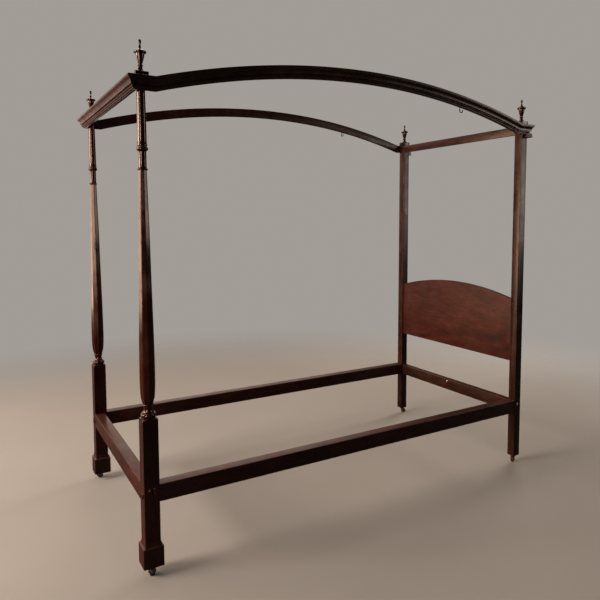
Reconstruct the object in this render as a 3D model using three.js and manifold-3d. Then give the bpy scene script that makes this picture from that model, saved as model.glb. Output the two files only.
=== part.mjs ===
// Four poster canopy bed of polished mahogany. Two turned foot posts with eight-sided shafts stand
// on block feet, two plain square posts stand at the head, and four bolted rails join them. The
// tester overhead has bow-shaped sides, a cornice on three sides and a finial on each corner.
// Millimetres, +Z up. X runs across the bed and Y along it, with the head at +Y. The origin is on
// the floor under the middle of the bed.
import * as THREE from 'three';
import * as BufferGeometryUtils from 'three/addons/utils/BufferGeometryUtils.js';
import Module from 'manifold-3d';

const wasm = await Module();
wasm.setup();

// ---- driving dimensions -------------------------------------------------------------------------
const GAP = 0.3;                      // clearance kept between pieces that touch

const BED_WIDTH = 1024;               // over the posts
const BED_LENGTH = 2050;              // over the posts
const FOOT_POST = 58;                 // square section of the foot posts
const HEAD_POST = 44.5;               // square section of the head posts
const FOOT_BASE = 37;                 // floor to the underside of the block feet
const HEAD_BASE = 36;                 // floor to the underside of the head posts
const SQUARE_TOP = 604;               // top of the square part of the foot posts
const BLOCK_OVERHANG = 9.5;           // of a block foot beyond its post, on each side
const BLOCK_TOP = 114;                // top of its straight sides
const BLOCK_SHOULDER_TOP = 132;

const RAIL_BOTTOM = 283;
const RAIL_TOP = 350;
const SIDE_RAIL_THICKNESS = 50;
const FOOT_RAIL_THICKNESS = 47;
const HEAD_RAIL_THICKNESS = 40;
const HEAD_RAIL_BOTTOM = 282;
const HEAD_RAIL_TOP = 344;

const TESTER_BOTTOM = 1795;           // underside of the level ends of the tester
const TESTER_HEIGHT = 46;
const TESTER_THICKNESS = 10;
const ARCH_HALF_SPAN = 948;           // from the middle of the bed to the bend where the bow starts
const ARCH_RISE = 137;                // of the bow above the level ends
const HEAD_TESTER_BOTTOM = 1792;
const HEAD_TESTER_TOP = 1837;
const CORNER_BLOCK = 46;              // square block in each foot corner, which the pin goes through
const CORNER_BLOCK_BOTTOM = 1812;
const CORNICE_HEIGHT = 48;
const CORNICE_PROJECTION = 27.5;

const HEADBOARD_BOTTOM = 563;
const HEADBOARD_SHOULDER = 905;       // top edge where it meets the posts
const HEADBOARD_RISE = 61;            // of the arched top above the shoulders
const HEADBOARD_THICKNESS = 19;
const HEADBOARD_SETBACK = 8;          // behind the front face of the head posts
const HEADBOARD_TONGUE = 8;           // depth let into each head post

const LOWER_BOLT_Z = 309;             // bolts that run along the bed
const UPPER_BOLT_Z = 327;             // bolts that run across the bed
const BOLT_DIAMETER = 10;
const BOLT_REACH = 70;                // how far a bolt runs into its rail
const NUT_OFFSET = 46;                // from the inner face of the post to the nut
const NUT_SIZE = 16;
const NUT_THICKNESS = 8;
const COUNTERBORE = 20;
const FOOT_COUNTERBORE_DEPTH = 10;
const HEAD_COUNTERBORE_DEPTH = 8;
const PIN_DIAMETER = 8;               // steel pins that locate the tester and the finials
const PIN_DEPTH = 40;                 // in the top of a post
const PIN_STANDOUT = 20;              // above the tester, inside a finial

// ---- dimensions worked out from them ------------------------------------------------------------
const HALF_WIDTH = BED_WIDTH / 2;
const HALF_LENGTH = BED_LENGTH / 2;
const FOOT_X = HALF_WIDTH - FOOT_POST / 2;
const FOOT_Y = -(HALF_LENGTH - FOOT_POST / 2);
const HEAD_X = HALF_WIDTH - HEAD_POST / 2;
const HEAD_Y = HALF_LENGTH - HEAD_POST / 2;
const FOOT_INNER_X = HALF_WIDTH - FOOT_POST;
const FOOT_INNER_Y = -(HALF_LENGTH - FOOT_POST);
const HEAD_INNER_X = HALF_WIDTH - HEAD_POST;
const HEAD_FRONT_Y = HALF_LENGTH - HEAD_POST;
const TESTER_TOP = TESTER_BOTTOM + TESTER_HEIGHT;
const ARCH_RADIUS = (ARCH_HALF_SPAN ** 2 + ARCH_RISE ** 2) / (2 * ARCH_RISE);
const ARCH_CENTRE_Z = TESTER_BOTTOM + ARCH_RISE - ARCH_RADIUS;
const ARCH_STEPS = 24;

const SIDES = [['right', 1], ['left', -1]];

// ---- finishes -----------------------------------------------------------------------------------
const FINISH = {
  postWood: { color: 0x3f170d, roughness: 0.28, metalness: 0 },
  railWood: { color: 0x47190f, roughness: 0.32, metalness: 0 },
  testerWood: { color: 0x43190f, roughness: 0.32, metalness: 0 },
  headboardWood: { color: 0x6b2c1b, roughness: 0.36, metalness: 0 },
  brass: { color: 0x8a6a3a, roughness: 0.35, metalness: 1 },
  bronze: { color: 0x3a2416, roughness: 0.4, metalness: 1 },
  steel: { color: 0x9a9a98, roughness: 0.35, metalness: 1 },
  iron: { color: 0x2a2522, roughness: 0.5, metalness: 1 },
};

const bed = new THREE.Group();
bed.name = 'four_poster_bed';

function addPiece(name, geometry, finish) {
  const mesh = new THREE.Mesh(geometry, new THREE.MeshStandardMaterial(FINISH[finish]));
  mesh.name = name;
  bed.add(mesh);
}

// ---- joining and cutting solids -----------------------------------------------------------------
function toSolid(geometry) {
  const bare = geometry.clone();
  bare.deleteAttribute('normal');
  bare.deleteAttribute('uv');
  const merged = BufferGeometryUtils.mergeVertices(bare, 1e-4);
  const corners = merged.index.array;
  const triVerts = [];
  for (let i = 0; i < corners.length; i += 3) {
    const [a, b, c] = [corners[i], corners[i + 1], corners[i + 2]];
    if (a !== b && b !== c && c !== a) triVerts.push(a, b, c);
  }
  return new wasm.Manifold(new wasm.Mesh({
    numProp: 3,
    vertProperties: new Float32Array(merged.attributes.position.array),
    triVerts: new Uint32Array(triVerts),
  }));
}

function toGeometry(solid) {
  const mesh = solid.getMesh();
  const geometry = new THREE.BufferGeometry();
  geometry.setAttribute('position', new THREE.BufferAttribute(new Float32Array(mesh.vertProperties), 3));
  geometry.setIndex(new THREE.BufferAttribute(new Uint32Array(mesh.triVerts), 1));
  geometry.computeVertexNormals();
  return geometry;
}

function join(...geometries) {
  return geometries.map(toSolid).reduce((whole, solid) => whole.add(solid));
}

function cut(solid, ...tools) {
  return tools.map(toSolid).reduce((left, tool) => left.subtract(tool), solid);
}

// ---- basic shapes -------------------------------------------------------------------------------
// A box between two limits along each axis, given in either order.
function block(x, y, z) {
  const size = [x, y, z].map(([a, b]) => Math.abs(b - a));
  const middle = [x, y, z].map(([a, b]) => (a + b) / 2);
  return new THREE.BoxGeometry(...size).translate(...middle);
}

// A shape turned about Z from [radius, height] points listed upwards.
function turned(points, segments) {
  const profile = points.map(([radius, height]) => new THREE.Vector2(radius, height));
  return new THREE.LatheGeometry(profile, segments).rotateX(Math.PI / 2);
}

function rod(diameter, low, high, segments = 16) {
  const radius = diameter / 2;
  return turned([[0, low], [radius, low], [radius, high], [0, high]], segments);
}

// Lays a shape drawn about Z along X or Y, its top towards sign.
const alongX = (geometry, sign) => geometry.rotateY(sign * Math.PI / 2);
const alongY = (geometry, sign) => geometry.rotateX(-sign * Math.PI / 2);

// A half-round moulding on a radius, between two heights.
function bead(radius, swell, low, high, steps = 5) {
  const points = [];
  for (let i = 0; i <= steps; i++) {
    const angle = Math.PI * (i / steps - 0.5);
    points.push([
      radius + swell * Math.cos(angle),
      (low + high) / 2 + (high - low) / 2 * Math.sin(angle),
    ]);
  }
  return points;
}

// A hollow quarter curve. It leaves the wide end level and meets the narrow end upright.
function hollow([wide, wideZ], [narrow, narrowZ], steps = 4) {
  const points = [];
  for (let i = 0; i <= steps; i++) {
    const angle = Math.PI / 2 * (i / steps);
    points.push([
      wide - (wide - narrow) * Math.sin(angle),
      narrowZ - (narrowZ - wideZ) * Math.cos(angle),
    ]);
  }
  return points;
}

// A smooth curve through a few [radius, height] points.
function smooth(points, steps) {
  const curve = new THREE.SplineCurve(points.map(([x, y]) => new THREE.Vector2(x, y)));
  return curve.getPoints(steps).map((point) => [point.x, point.y]);
}

// Extrudes an outline drawn in Y and Z across the bed, from x0 to x1.
function acrossBed(outline, x0, x1, curveSegments) {
  const depth = Math.abs(x1 - x0);
  const geometry = new THREE.ExtrudeGeometry(outline, { depth, bevelEnabled: false, curveSegments });
  return geometry.rotateX(Math.PI / 2).rotateZ(Math.PI / 2).translate(Math.min(x0, x1), 0, 0);
}

// Carries a closed outline of [u, v] points through a list of places. Each place is a function
// that gives the position of an outline point, and both ends are capped.
function loft(outline, places, mirrored) {
  const count = outline.length;
  const positions = places.flatMap((place) => outline.flatMap(([u, v]) => place(u, v)));
  const corners = [];
  for (let s = 0; s + 1 < places.length; s++) {
    for (let i = 0; i < count; i++) {
      const a = s * count + i;
      const b = s * count + (i + 1) % count;
      corners.push(a, b, b + count, a, b + count, a + count);
    }
  }
  const last = (places.length - 1) * count;
  const flat = outline.map(([u, v]) => new THREE.Vector2(u, v));
  for (const [a, b, c] of THREE.ShapeUtils.triangulateShape(flat, [])) {
    corners.push(c, b, a, last + a, last + b, last + c);
  }
  const geometry = new THREE.BufferGeometry();
  geometry.setAttribute('position', new THREE.Float32BufferAttribute(positions, 3));
  geometry.setIndex(mirrored ? corners.reverse() : corners);
  geometry.computeVertexNormals();
  return geometry;
}

// ---- bed bolts ----------------------------------------------------------------------------------
// Every corner has two bolts: one along Y into a side rail and one along X into an end rail. Each
// enters at an outer face of its post, and "outward" is the direction that its head faces.
const bolts = [];
for (const [side, sx] of SIDES) {
  const atFoot = { side, sx, post: FOOT_POST, atFoot: true, depth: FOOT_COUNTERBORE_DEPTH };
  const atHead = { side, sx, post: HEAD_POST, atFoot: false, depth: HEAD_COUNTERBORE_DEPTH };
  const lengthwise = { intoSide: true, z: LOWER_BOLT_Z };
  const crosswise = { intoSide: false, z: UPPER_BOLT_Z, outward: sx, face: sx * HALF_WIDTH };
  bolts.push(
    { ...atFoot, ...lengthwise, key: 'side_bolt_foot', outward: -1, face: -HALF_LENGTH, across: sx * FOOT_X },
    { ...atFoot, ...crosswise, key: 'end_bolt_foot', across: FOOT_Y },
    { ...atHead, ...lengthwise, key: 'side_bolt_head', outward: 1, face: HALF_LENGTH, across: sx * HEAD_X },
    { ...atHead, ...crosswise, key: 'end_bolt_head', across: HEAD_Y },
  );
}

// Puts a shape drawn about Z on a bolt's axis, with its zero at the post's face and +Z outwards.
function onBolt(geometry, bolt, rise = 0) {
  return bolt.intoSide
    ? alongY(geometry, bolt.outward).translate(bolt.across, bolt.face, bolt.z + rise)
    : alongX(geometry, bolt.outward).translate(bolt.face, bolt.across, bolt.z + rise);
}

function boltHole(bolt) {
  const radius = BOLT_DIAMETER / 2 + GAP;
  const mouth = COUNTERBORE / 2;
  const end = -(bolt.post + BOLT_REACH + 4);
  return onBolt(turned([[0, end], [radius, end], [radius, -bolt.depth], [mouth, -bolt.depth],
    [mouth, 5], [0, 5]], 16), bolt);
}

function bedBolt(bolt) {
  const radius = BOLT_DIAMETER / 2;
  const seat = -bolt.depth + GAP;
  const tip = -(bolt.post + BOLT_REACH);
  const shaft = turned([[0, tip], [radius - 1.5, tip], [radius, tip + 2], [radius, seat + 2],
    [0, seat + 2]], 12);
  const head = turned([[0, seat], [8, seat], [8, seat + 5.5], [6.8, seat + 6.6], [0, seat + 6.6]], 6);
  addPiece(`${bolt.key}_${bolt.side}`, onBolt(toGeometry(join(shaft, head)), bolt), 'steel');
}

// A square nut in a pocket cut up into the rail from its underside.
function nutPocket(bolt) {
  const half = NUT_SIZE / 2 + GAP;
  const near = bolt.face - bolt.outward * (bolt.post + NUT_OFFSET - GAP);
  const far = bolt.face - bolt.outward * (bolt.post + NUT_OFFSET + NUT_THICKNESS + GAP);
  const across = [bolt.across - half, bolt.across + half];
  const z = [HEAD_RAIL_BOTTOM - 5, bolt.z + half];
  return bolt.intoSide ? block(across, [near, far], z) : block([near, far], across, z);
}

function bedNut(bolt) {
  const half = NUT_SIZE / 2;
  const top = -(bolt.post + NUT_OFFSET);
  const body = block([-half, half], [-half, half], [top - NUT_THICKNESS, top]);
  const hole = rod(BOLT_DIAMETER + 2 * GAP, top - NUT_THICKNESS - 5, top + 5);
  const name = `${bolt.key.replace('bolt', 'nut')}_${bolt.side}`;
  addPiece(name, onBolt(toGeometry(cut(toSolid(body), hole)), bolt), 'steel');
}

// ---- bolt covers --------------------------------------------------------------------------------
const COVER = { radius: 15.5, rise: 12.5, pin: 2.4, pinDepth: 8 };

// A domed disc over each bolt of the foot posts. It hangs from the pin near its upper edge.
function boltCover(bolt) {
  const { radius, rise, pin, pinDepth } = COVER;
  const disc = turned([[0, GAP], [radius, GAP], [radius, 1.3], [radius - 1, 2], [radius - 3, 2.2],
    [radius - 4, 3.2], [radius - 5.5, 2.6], [5, 4], [0, 4.4]], 20);
  const shank = rod(pin, -pinDepth, 2.5, 8).translate(0, rise, 0);
  const rivet = turned([[0, 1], [2, 1], [2, 3.2], [1.2, 3.9], [0, 3.9]], 8).translate(0, rise, 0);
  const upright = toGeometry(join(disc, shank, rivet));
  if (!bolt.intoSide) upright.rotateZ(bolt.outward * Math.PI / 2);
  const name = bolt.intoSide ? 'side_bolt_cover' : 'end_bolt_cover';
  addPiece(`${name}_${bolt.side}`, onBolt(upright, bolt), 'bronze');
}

function coverPinHole(bolt) {
  return onBolt(rod(COVER.pin + 2 * GAP, -COVER.pinDepth - 1, 5, 8), bolt, COVER.rise);
}

// ---- tenons -------------------------------------------------------------------------------------
// Each tenon enters a post from the face at "start" towards "sign". It lies along X or Y, centred
// on "across", and the same shape with some slack cuts its mortise.
const TENONS = {
  sideFoot: { length: 14, thickness: 22, low: 294, high: 339 },
  sideHead: { length: 10, thickness: 22, low: 294, high: 339 },
  footRail: { length: 14, thickness: 22, low: 294, high: 339 },
  headRail: { length: 12, thickness: 18, low: 292, high: 336 },
  testerFoot: { length: 5, thickness: 5, low: 1801, high: 1834 },
  testerSide: { length: 12, thickness: 6, low: 1801, high: 1834 },
  testerHead: { length: 12, thickness: 6, low: 1800, high: 1829 },
};

function tenon(kind, axis, start, sign, across, slack = 0) {
  const { length, thickness, low, high } = TENONS[kind];
  const run = [start - sign * 2, start + sign * (length + slack)];
  const width = [across - thickness / 2 - slack, across + thickness / 2 + slack];
  const height = [low - slack, high + slack];
  return axis === 'x' ? block(run, width, height) : block(width, run, height);
}

const TESTER_TENON_X = HALF_WIDTH - TESTER_THICKNESS / 2;
const TESTER_FOOT_TENON_Y = -HALF_LENGTH + TESTER_THICKNESS / 2;
const TESTER_HEAD_TENON_Y = HEAD_FRONT_Y + TESTER_THICKNESS / 2;

// ---- foot posts ---------------------------------------------------------------------------------
const SHAFT_START = 656;
const SHAFT_END = 1515;
const ROUND = 20;                     // facets round a turned part
const FOOT_POST_TOP = CORNER_BLOCK_BOTTOM - GAP;

function footPost(side, sx) {
  const half = FOOT_POST / 2;
  const squarePart = block([-half, half], [-half, half], [FOOT_BASE, SQUARE_TOP]);
  const corners = turned([[0, 0], [42, 0], [42, SQUARE_TOP - 10], [38, SQUARE_TOP - 5],
    [33, SQUARE_TOP - 1], [28, SQUARE_TOP], [0, SQUARE_TOP]], 24);
  const base = turned([[0, SQUARE_TOP - 5], [24, SQUARE_TOP - 5], [24, 605], ...bead(24.5, 4, 606, 621),
    ...hollow([24.5, 623], [15.8, 641]), [17.8, 648], ...bead(18.2, 2.8, 650, 656.5, 4), [18.4, 660],
    [0, 660]], ROUND);
  const shaft = turned([[0, SHAFT_START], ...smooth([[19, SHAFT_START], [25.8, 681], [28.6, 722],
    [29, 780], [27.8, 885], [25.6, 1005], [23.1, 1130], [20.9, 1280], [18.3, 1390],
    [15.5, SHAFT_END]], 20), [0, SHAFT_END]], 8);
  const neck = turned([[0, 1511], [14.6, 1511], [17, 1517], ...bead(17, 2, 1518, 1522, 4), [15.4, 1524],
    [14.5, 1530], [14.5, 1582], ...bead(16.5, 4.5, 1586, 1599), [16.8, 1602], [18.2, 1603.5],
    [18.2, 1608.5], ...smooth([[16.8, 1612], [16.25, 1683], [15.5, 1743], [14.6, FOOT_POST_TOP]], 4),
    [0, FOOT_POST_TOP]], ROUND);
  const bar = toSolid(squarePart).intersect(toSolid(corners));
  const standing = [base, shaft, neck].map(toSolid).reduce((whole, part) => whole.add(part), bar)
    .translate([sx * FOOT_X, FOOT_Y, 0]);
  const own = bolts.filter((bolt) => bolt.atFoot && bolt.sx === sx);
  const finished = cut(standing,
    casterSocket(FOOT_BASE).translate(sx * FOOT_X, FOOT_Y, 0),
    pinHole(sx * FOOT_X, FOOT_Y, FOOT_POST_TOP - PIN_DEPTH - 1, FOOT_POST_TOP + 5),
    tenon('sideFoot', 'y', FOOT_INNER_Y, -1, sx * FOOT_X, GAP),
    tenon('footRail', 'x', sx * FOOT_INNER_X, sx, FOOT_Y, GAP),
    ...own.map(boltHole), ...own.map(coverPinHole));
  addPiece(`foot_post_${side}`, toGeometry(finished), 'postWood');
}

// A block foot: four mitred sides round the bottom of the post, with a hollow shoulder.
function footBlock(side, sx) {
  const inner = FOOT_POST / 2 + GAP;
  const outer = FOOT_POST / 2 + BLOCK_OVERHANG;
  const section = [[0, FOOT_BASE], [outer, FOOT_BASE], [outer, BLOCK_TOP],
    ...hollow([outer - 1.5, BLOCK_TOP + 1], [inner + 0.8, BLOCK_SHOULDER_TOP], 4), [0, BLOCK_SHOULDER_TOP]];
  const toCorners = section.map(([reach, height]) => [reach * Math.SQRT2, height]);
  const body = turned(toCorners, 4).rotateZ(Math.PI / 4);
  const finished = cut(toSolid(body), block([-inner, inner], [-inner, inner], [0, 200]));
  addPiece(`foot_block_${side}`, toGeometry(finished.translate([sx * FOOT_X, FOOT_Y, 0])), 'postWood');
}

// ---- head posts ---------------------------------------------------------------------------------
function headPost(side, sx) {
  const x = [sx * HEAD_INNER_X, sx * HALF_WIDTH];
  const body = block(x, [HEAD_FRONT_Y, HALF_LENGTH], [HEAD_BASE, TESTER_TOP]);
  const own = bolts.filter((bolt) => !bolt.atFoot && bolt.sx === sx);
  const grooveFront = HEAD_FRONT_Y + HEADBOARD_SETBACK - GAP;
  const groove = block([sx * (HEAD_INNER_X - 5), sx * (HEAD_INNER_X + HEADBOARD_TONGUE + GAP)],
    [grooveFront, grooveFront + HEADBOARD_THICKNESS + 2 * GAP],
    [HEADBOARD_BOTTOM - GAP, HEADBOARD_SHOULDER + 2]);
  const tools = [groove,
    casterSocket(HEAD_BASE).translate(sx * HEAD_X, HEAD_Y, 0),
    pinHole(sx * HEAD_X, HEAD_Y, TESTER_TOP - PIN_DEPTH - 1, TESTER_TOP + 5),
    tenon('sideHead', 'y', HEAD_FRONT_Y, 1, sx * HEAD_X, GAP),
    tenon('headRail', 'x', sx * HEAD_INNER_X, sx, HEAD_Y, GAP),
    tenon('testerSide', 'y', HEAD_FRONT_Y, 1, sx * TESTER_TENON_X, GAP),
    tenon('testerHead', 'x', sx * HEAD_INNER_X, sx, TESTER_HEAD_TENON_Y, GAP),
    ...own.map(boltHole)];
  if (side === 'right') {
    tools.push(alongY(rod(7, -12, 5, 12), -1).translate(HALF_WIDTH - 27, HEAD_FRONT_Y, RAIL_TOP + 6));
  }
  addPiece(`head_post_${side}`, toGeometry(cut(toSolid(body), ...tools)), 'postWood');
}

// ---- bed rails ----------------------------------------------------------------------------------
function sideRail(side, sx) {
  const body = join(
    block([sx * (HALF_WIDTH - SIDE_RAIL_THICKNESS), sx * HALF_WIDTH],
      [FOOT_INNER_Y + GAP, HEAD_FRONT_Y - GAP], [RAIL_BOTTOM, RAIL_TOP]),
    tenon('sideFoot', 'y', FOOT_INNER_Y, -1, sx * FOOT_X),
    tenon('sideHead', 'y', HEAD_FRONT_Y, 1, sx * HEAD_X));
  const own = bolts.filter((bolt) => bolt.intoSide && bolt.sx === sx);
  addPiece(`side_rail_${side}`, toGeometry(cut(body, ...own.map(boltHole), ...own.map(nutPocket))),
    'railWood');
}

function footRail() {
  const body = join(
    block([-FOOT_INNER_X + GAP, FOOT_INNER_X - GAP],
      [-HALF_LENGTH, -HALF_LENGTH + FOOT_RAIL_THICKNESS], [RAIL_BOTTOM, RAIL_TOP]),
    ...SIDES.map(([, sx]) => tenon('footRail', 'x', sx * FOOT_INNER_X, sx, FOOT_Y)));
  const own = bolts.filter((bolt) => !bolt.intoSide && bolt.atFoot);
  addPiece('foot_rail', toGeometry(cut(body, ...own.map(boltHole), ...own.map(nutPocket))), 'railWood');
}

function headRail() {
  const body = join(
    block([-HEAD_INNER_X + GAP, HEAD_INNER_X - GAP],
      [HEAD_FRONT_Y, HEAD_FRONT_Y + HEAD_RAIL_THICKNESS], [HEAD_RAIL_BOTTOM, HEAD_RAIL_TOP]),
    ...SIDES.map(([, sx]) => tenon('headRail', 'x', sx * HEAD_INNER_X, sx, HEAD_Y)));
  const own = bolts.filter((bolt) => !bolt.intoSide && !bolt.atFoot);
  const pegHole = alongY(rod(PEG.shank + 2 * GAP, -PEG.length - 1, 5, 12), -1)
    .translate(PEG.x, HEAD_FRONT_Y, PEG.z);
  addPiece('head_rail', toGeometry(cut(body, ...own.map(boltHole), ...own.map(nutPocket), pegHole)),
    'railWood');
}

// A small round-headed peg in the front face of the head rail.
const PEG = { x: -20, z: 334, head: 12, proud: 4, shank: 6, length: 18 };

function headRailPeg() {
  const [head, shank] = [PEG.head / 2, PEG.shank / 2];
  const body = turned([[0, -PEG.length], [shank, -PEG.length], [shank, GAP], [head, GAP], [head, 1.3],
    [head * 0.8, PEG.proud * 0.8], [head * 0.4, PEG.proud], [0, PEG.proud]], 14);
  addPiece('head_rail_peg', alongY(body, -1).translate(PEG.x, HEAD_FRONT_Y, PEG.z), 'brass');
}

// ---- headboard ----------------------------------------------------------------------------------
function headboard() {
  const half = HEAD_INNER_X + HEADBOARD_TONGUE;
  const radius = (HEAD_INNER_X ** 2 + HEADBOARD_RISE ** 2) / (2 * HEADBOARD_RISE);
  const centreZ = HEADBOARD_SHOULDER + HEADBOARD_RISE - radius;
  const angle = Math.asin(half / radius);
  const outline = new THREE.Shape();
  outline.moveTo(-half, HEADBOARD_BOTTOM);
  outline.lineTo(half, HEADBOARD_BOTTOM);
  outline.absarc(0, centreZ, radius, Math.PI / 2 - angle, Math.PI / 2 + angle, false);
  const body = new THREE.ExtrudeGeometry(outline,
    { depth: HEADBOARD_THICKNESS, bevelEnabled: false, curveSegments: 24 });
  body.rotateX(Math.PI / 2).translate(0, HEAD_FRONT_Y + HEADBOARD_SETBACK + HEADBOARD_THICKNESS, 0);
  addPiece('headboard', body, 'headboardWood');
}

// ---- tester -------------------------------------------------------------------------------------
// Where a line at some height above the underside meets the bow at the same height above its own.
const bendAt = (height) => Math.sqrt(ARCH_HALF_SPAN ** 2 + 2 * height * ARCH_RISE);

// Half the angle that the bow spans, at some height above its underside.
const bowAngle = (height) => Math.asin(bendAt(height) / (ARCH_RADIUS + height));

function testerArch(side, sx) {
  const [low, high] = [bowAngle(0), bowAngle(TESTER_HEIGHT)];
  const up = Math.PI / 2;
  const outline = new THREE.Shape();
  outline.moveTo(-HALF_LENGTH, TESTER_BOTTOM);
  outline.lineTo(-ARCH_HALF_SPAN, TESTER_BOTTOM);
  outline.absarc(0, ARCH_CENTRE_Z, ARCH_RADIUS, up + low, up - low, true);
  outline.lineTo(HEAD_FRONT_Y - GAP, TESTER_BOTTOM);
  outline.lineTo(HEAD_FRONT_Y - GAP, TESTER_TOP);
  outline.lineTo(bendAt(TESTER_HEIGHT), TESTER_TOP);
  outline.absarc(0, ARCH_CENTRE_Z, ARCH_RADIUS + TESTER_HEIGHT, up - high, up + high, false);
  outline.lineTo(-HALF_LENGTH, TESTER_TOP);
  const inner = sx * (HALF_WIDTH - TESTER_THICKNESS);
  const body = join(acrossBed(outline, inner, sx * HALF_WIDTH, ARCH_STEPS),
    tenon('testerSide', 'y', HEAD_FRONT_Y, 1, sx * TESTER_TENON_X));
  const finished = cut(body, hookHole(sx), tenon('testerFoot', 'x', inner, sx, TESTER_FOOT_TENON_Y, GAP));
  addPiece(`tester_arch_${side}`, toGeometry(finished), 'testerWood');
}

// The foot rail carries a block in each corner, which sits on the post and takes its pin.
function testerFootRail() {
  const end = HALF_WIDTH - TESTER_THICKNESS;
  const inner = -HALF_LENGTH + TESTER_THICKNESS;
  const cornerBlock = (sx) => block([sx * (end - GAP), sx * (end - CORNER_BLOCK)],
    [inner - 2, inner + CORNER_BLOCK], [CORNER_BLOCK_BOTTOM, TESTER_TOP]);
  const body = join(
    block([-end + GAP, end - GAP], [-HALF_LENGTH, inner], [TESTER_BOTTOM, TESTER_TOP]),
    ...SIDES.map(([, sx]) => cornerBlock(sx)),
    ...SIDES.map(([, sx]) => tenon('testerFoot', 'x', sx * end, sx, TESTER_FOOT_TENON_Y)));
  const pinHoles = SIDES.map(([, sx]) => pinHole(sx * FOOT_X, FOOT_Y, TESTER_BOTTOM, TESTER_TOP + 5));
  addPiece('tester_foot_rail', toGeometry(cut(body, ...pinHoles)), 'testerWood');
}

function testerHeadRail() {
  const body = join(
    block([-HEAD_INNER_X + GAP, HEAD_INNER_X - GAP], [HEAD_FRONT_Y, HEAD_FRONT_Y + TESTER_THICKNESS],
      [HEAD_TESTER_BOTTOM, HEAD_TESTER_TOP]),
    ...SIDES.map(([, sx]) => tenon('testerHead', 'x', sx * HEAD_INNER_X, sx, TESTER_HEAD_TENON_Y)));
  addPiece('tester_head_rail', toGeometry(body), 'testerWood');
}

// ---- cornice ------------------------------------------------------------------------------------
// The moulding's section: u is out from the tester's face and v is up from its underside. From the
// bottom it has a flat, a half-round bead, a step, a hollow and a square fillet.
function corniceSection() {
  const section = new THREE.Shape();
  section.moveTo(0, 3);
  section.lineTo(5.5, 3);
  section.lineTo(5.5, 5.5);
  section.lineTo(7, 6.5);
  section.quadraticCurveTo(14, 10, 8.5, 13.5);
  section.lineTo(8.5, 16);
  section.lineTo(15.5, 16.5);
  section.lineTo(15.5, 18);
  section.quadraticCurveTo(16, 29, 22, 35);
  section.lineTo(24.5, 36.5);
  section.lineTo(24.5, 38);
  section.lineTo(CORNICE_PROJECTION, 38.5);
  section.lineTo(CORNICE_PROJECTION, CORNICE_HEIGHT - 1);
  section.lineTo(CORNICE_PROJECTION - 1, CORNICE_HEIGHT);
  section.lineTo(0, CORNICE_HEIGHT);
  return section.getPoints(4).map((point) => [point.x, point.y]);
}

const CORNICE_X = HALF_WIDTH + GAP;
const CORNICE_Y = HALF_LENGTH + GAP;
const MITRE_GAP = GAP;

// Along a side: a mitre at the foot, level to the bend, over the bow, and level to the mitre behind
// the head post.
function sideCornice(side, sx) {
  const end = (sign) => (u, v) => [sx * (CORNICE_X + u), sign * (CORNICE_Y + u), TESTER_BOTTOM + v];
  const onBow = (share) => (u, v) => {
    const angle = share * bowAngle(v);
    const radius = ARCH_RADIUS + v;
    return [sx * (CORNICE_X + u), radius * Math.sin(angle), ARCH_CENTRE_Z + radius * Math.cos(angle)];
  };
  const places = [end(-1)];
  for (let i = 0; i <= ARCH_STEPS; i++) places.push(onBow(2 * i / ARCH_STEPS - 1));
  places.push(end(1));
  addPiece(`cornice_${side}`, loft(corniceSection(), places, sx > 0), 'testerWood');
}

function footCornice() {
  const end = (sign) => (u, v) => [
    sign * (CORNICE_X + u - MITRE_GAP), -(CORNICE_Y + u), TESTER_BOTTOM + v];
  addPiece('cornice_foot', loft(corniceSection(), [end(1), end(-1)], false), 'testerWood');
}

// The short return behind a head post, with a flared block under it that wraps the post's outer
// back corner.
const FLARE = { bottom: 1778, low: 20, high: 16, forward: 22 };

function corniceReturn(side, sx) {
  const mitred = (u, v) => [sx * (CORNICE_X + u - MITRE_GAP), CORNICE_Y + u, TESTER_BOTTOM + v];
  const square = (u, v) => [sx * HEAD_INNER_X, CORNICE_Y + u, TESTER_BOTTOM + v];
  const moulding = loft(corniceSection(), [square, mitred], sx < 0);

  const top = TESTER_BOTTOM + 5;
  const front = HALF_LENGTH - FLARE.forward;
  const level = (reach, z) => (u, v) => [
    sx * (HEAD_INNER_X + u * (CORNICE_X + reach - HEAD_INNER_X)),
    front + v * (CORNICE_Y + reach - front), z];
  const flare = loft([[0, 0], [1, 0], [1, 1], [0, 1]],
    [level(FLARE.low - 1, FLARE.bottom), level(FLARE.low, FLARE.bottom + 1), level(FLARE.high, top)], sx < 0);
  const post = block([sx * (HEAD_INNER_X - 5), sx * CORNICE_X], [front - 5, CORNICE_Y],
    [FLARE.bottom - 5, TESTER_TOP]);
  const plan = new THREE.Shape([
    [CORNICE_X - 5, front - 5], [CORNICE_X + 60, front - 5], [CORNICE_X + 60, CORNICE_Y + 60],
    [CORNICE_X - 5, CORNICE_Y - 5],
  ].map(([x, y]) => new THREE.Vector2(sx * (x - MITRE_GAP), y)));
  const sideMoulding = new THREE.ExtrudeGeometry(plan, { depth: 60, bevelEnabled: false })
    .translate(0, 0, TESTER_BOTTOM + 3 - GAP);
  addPiece(`cornice_return_${side}`, toGeometry(cut(join(moulding, flare), post, sideMoulding)),
    'testerWood');
}

// ---- finials and pins ---------------------------------------------------------------------------
const PLINTH = { width: 48, height: 22 };
const PLINTH_FOOT = { width: 43, height: 3 };   // narrower foot that clears the cornice

function pinHole(x, y, low, high) {
  return rod(PIN_DIAMETER + 2 * GAP, low, high).translate(x, y, 0);
}

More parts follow.
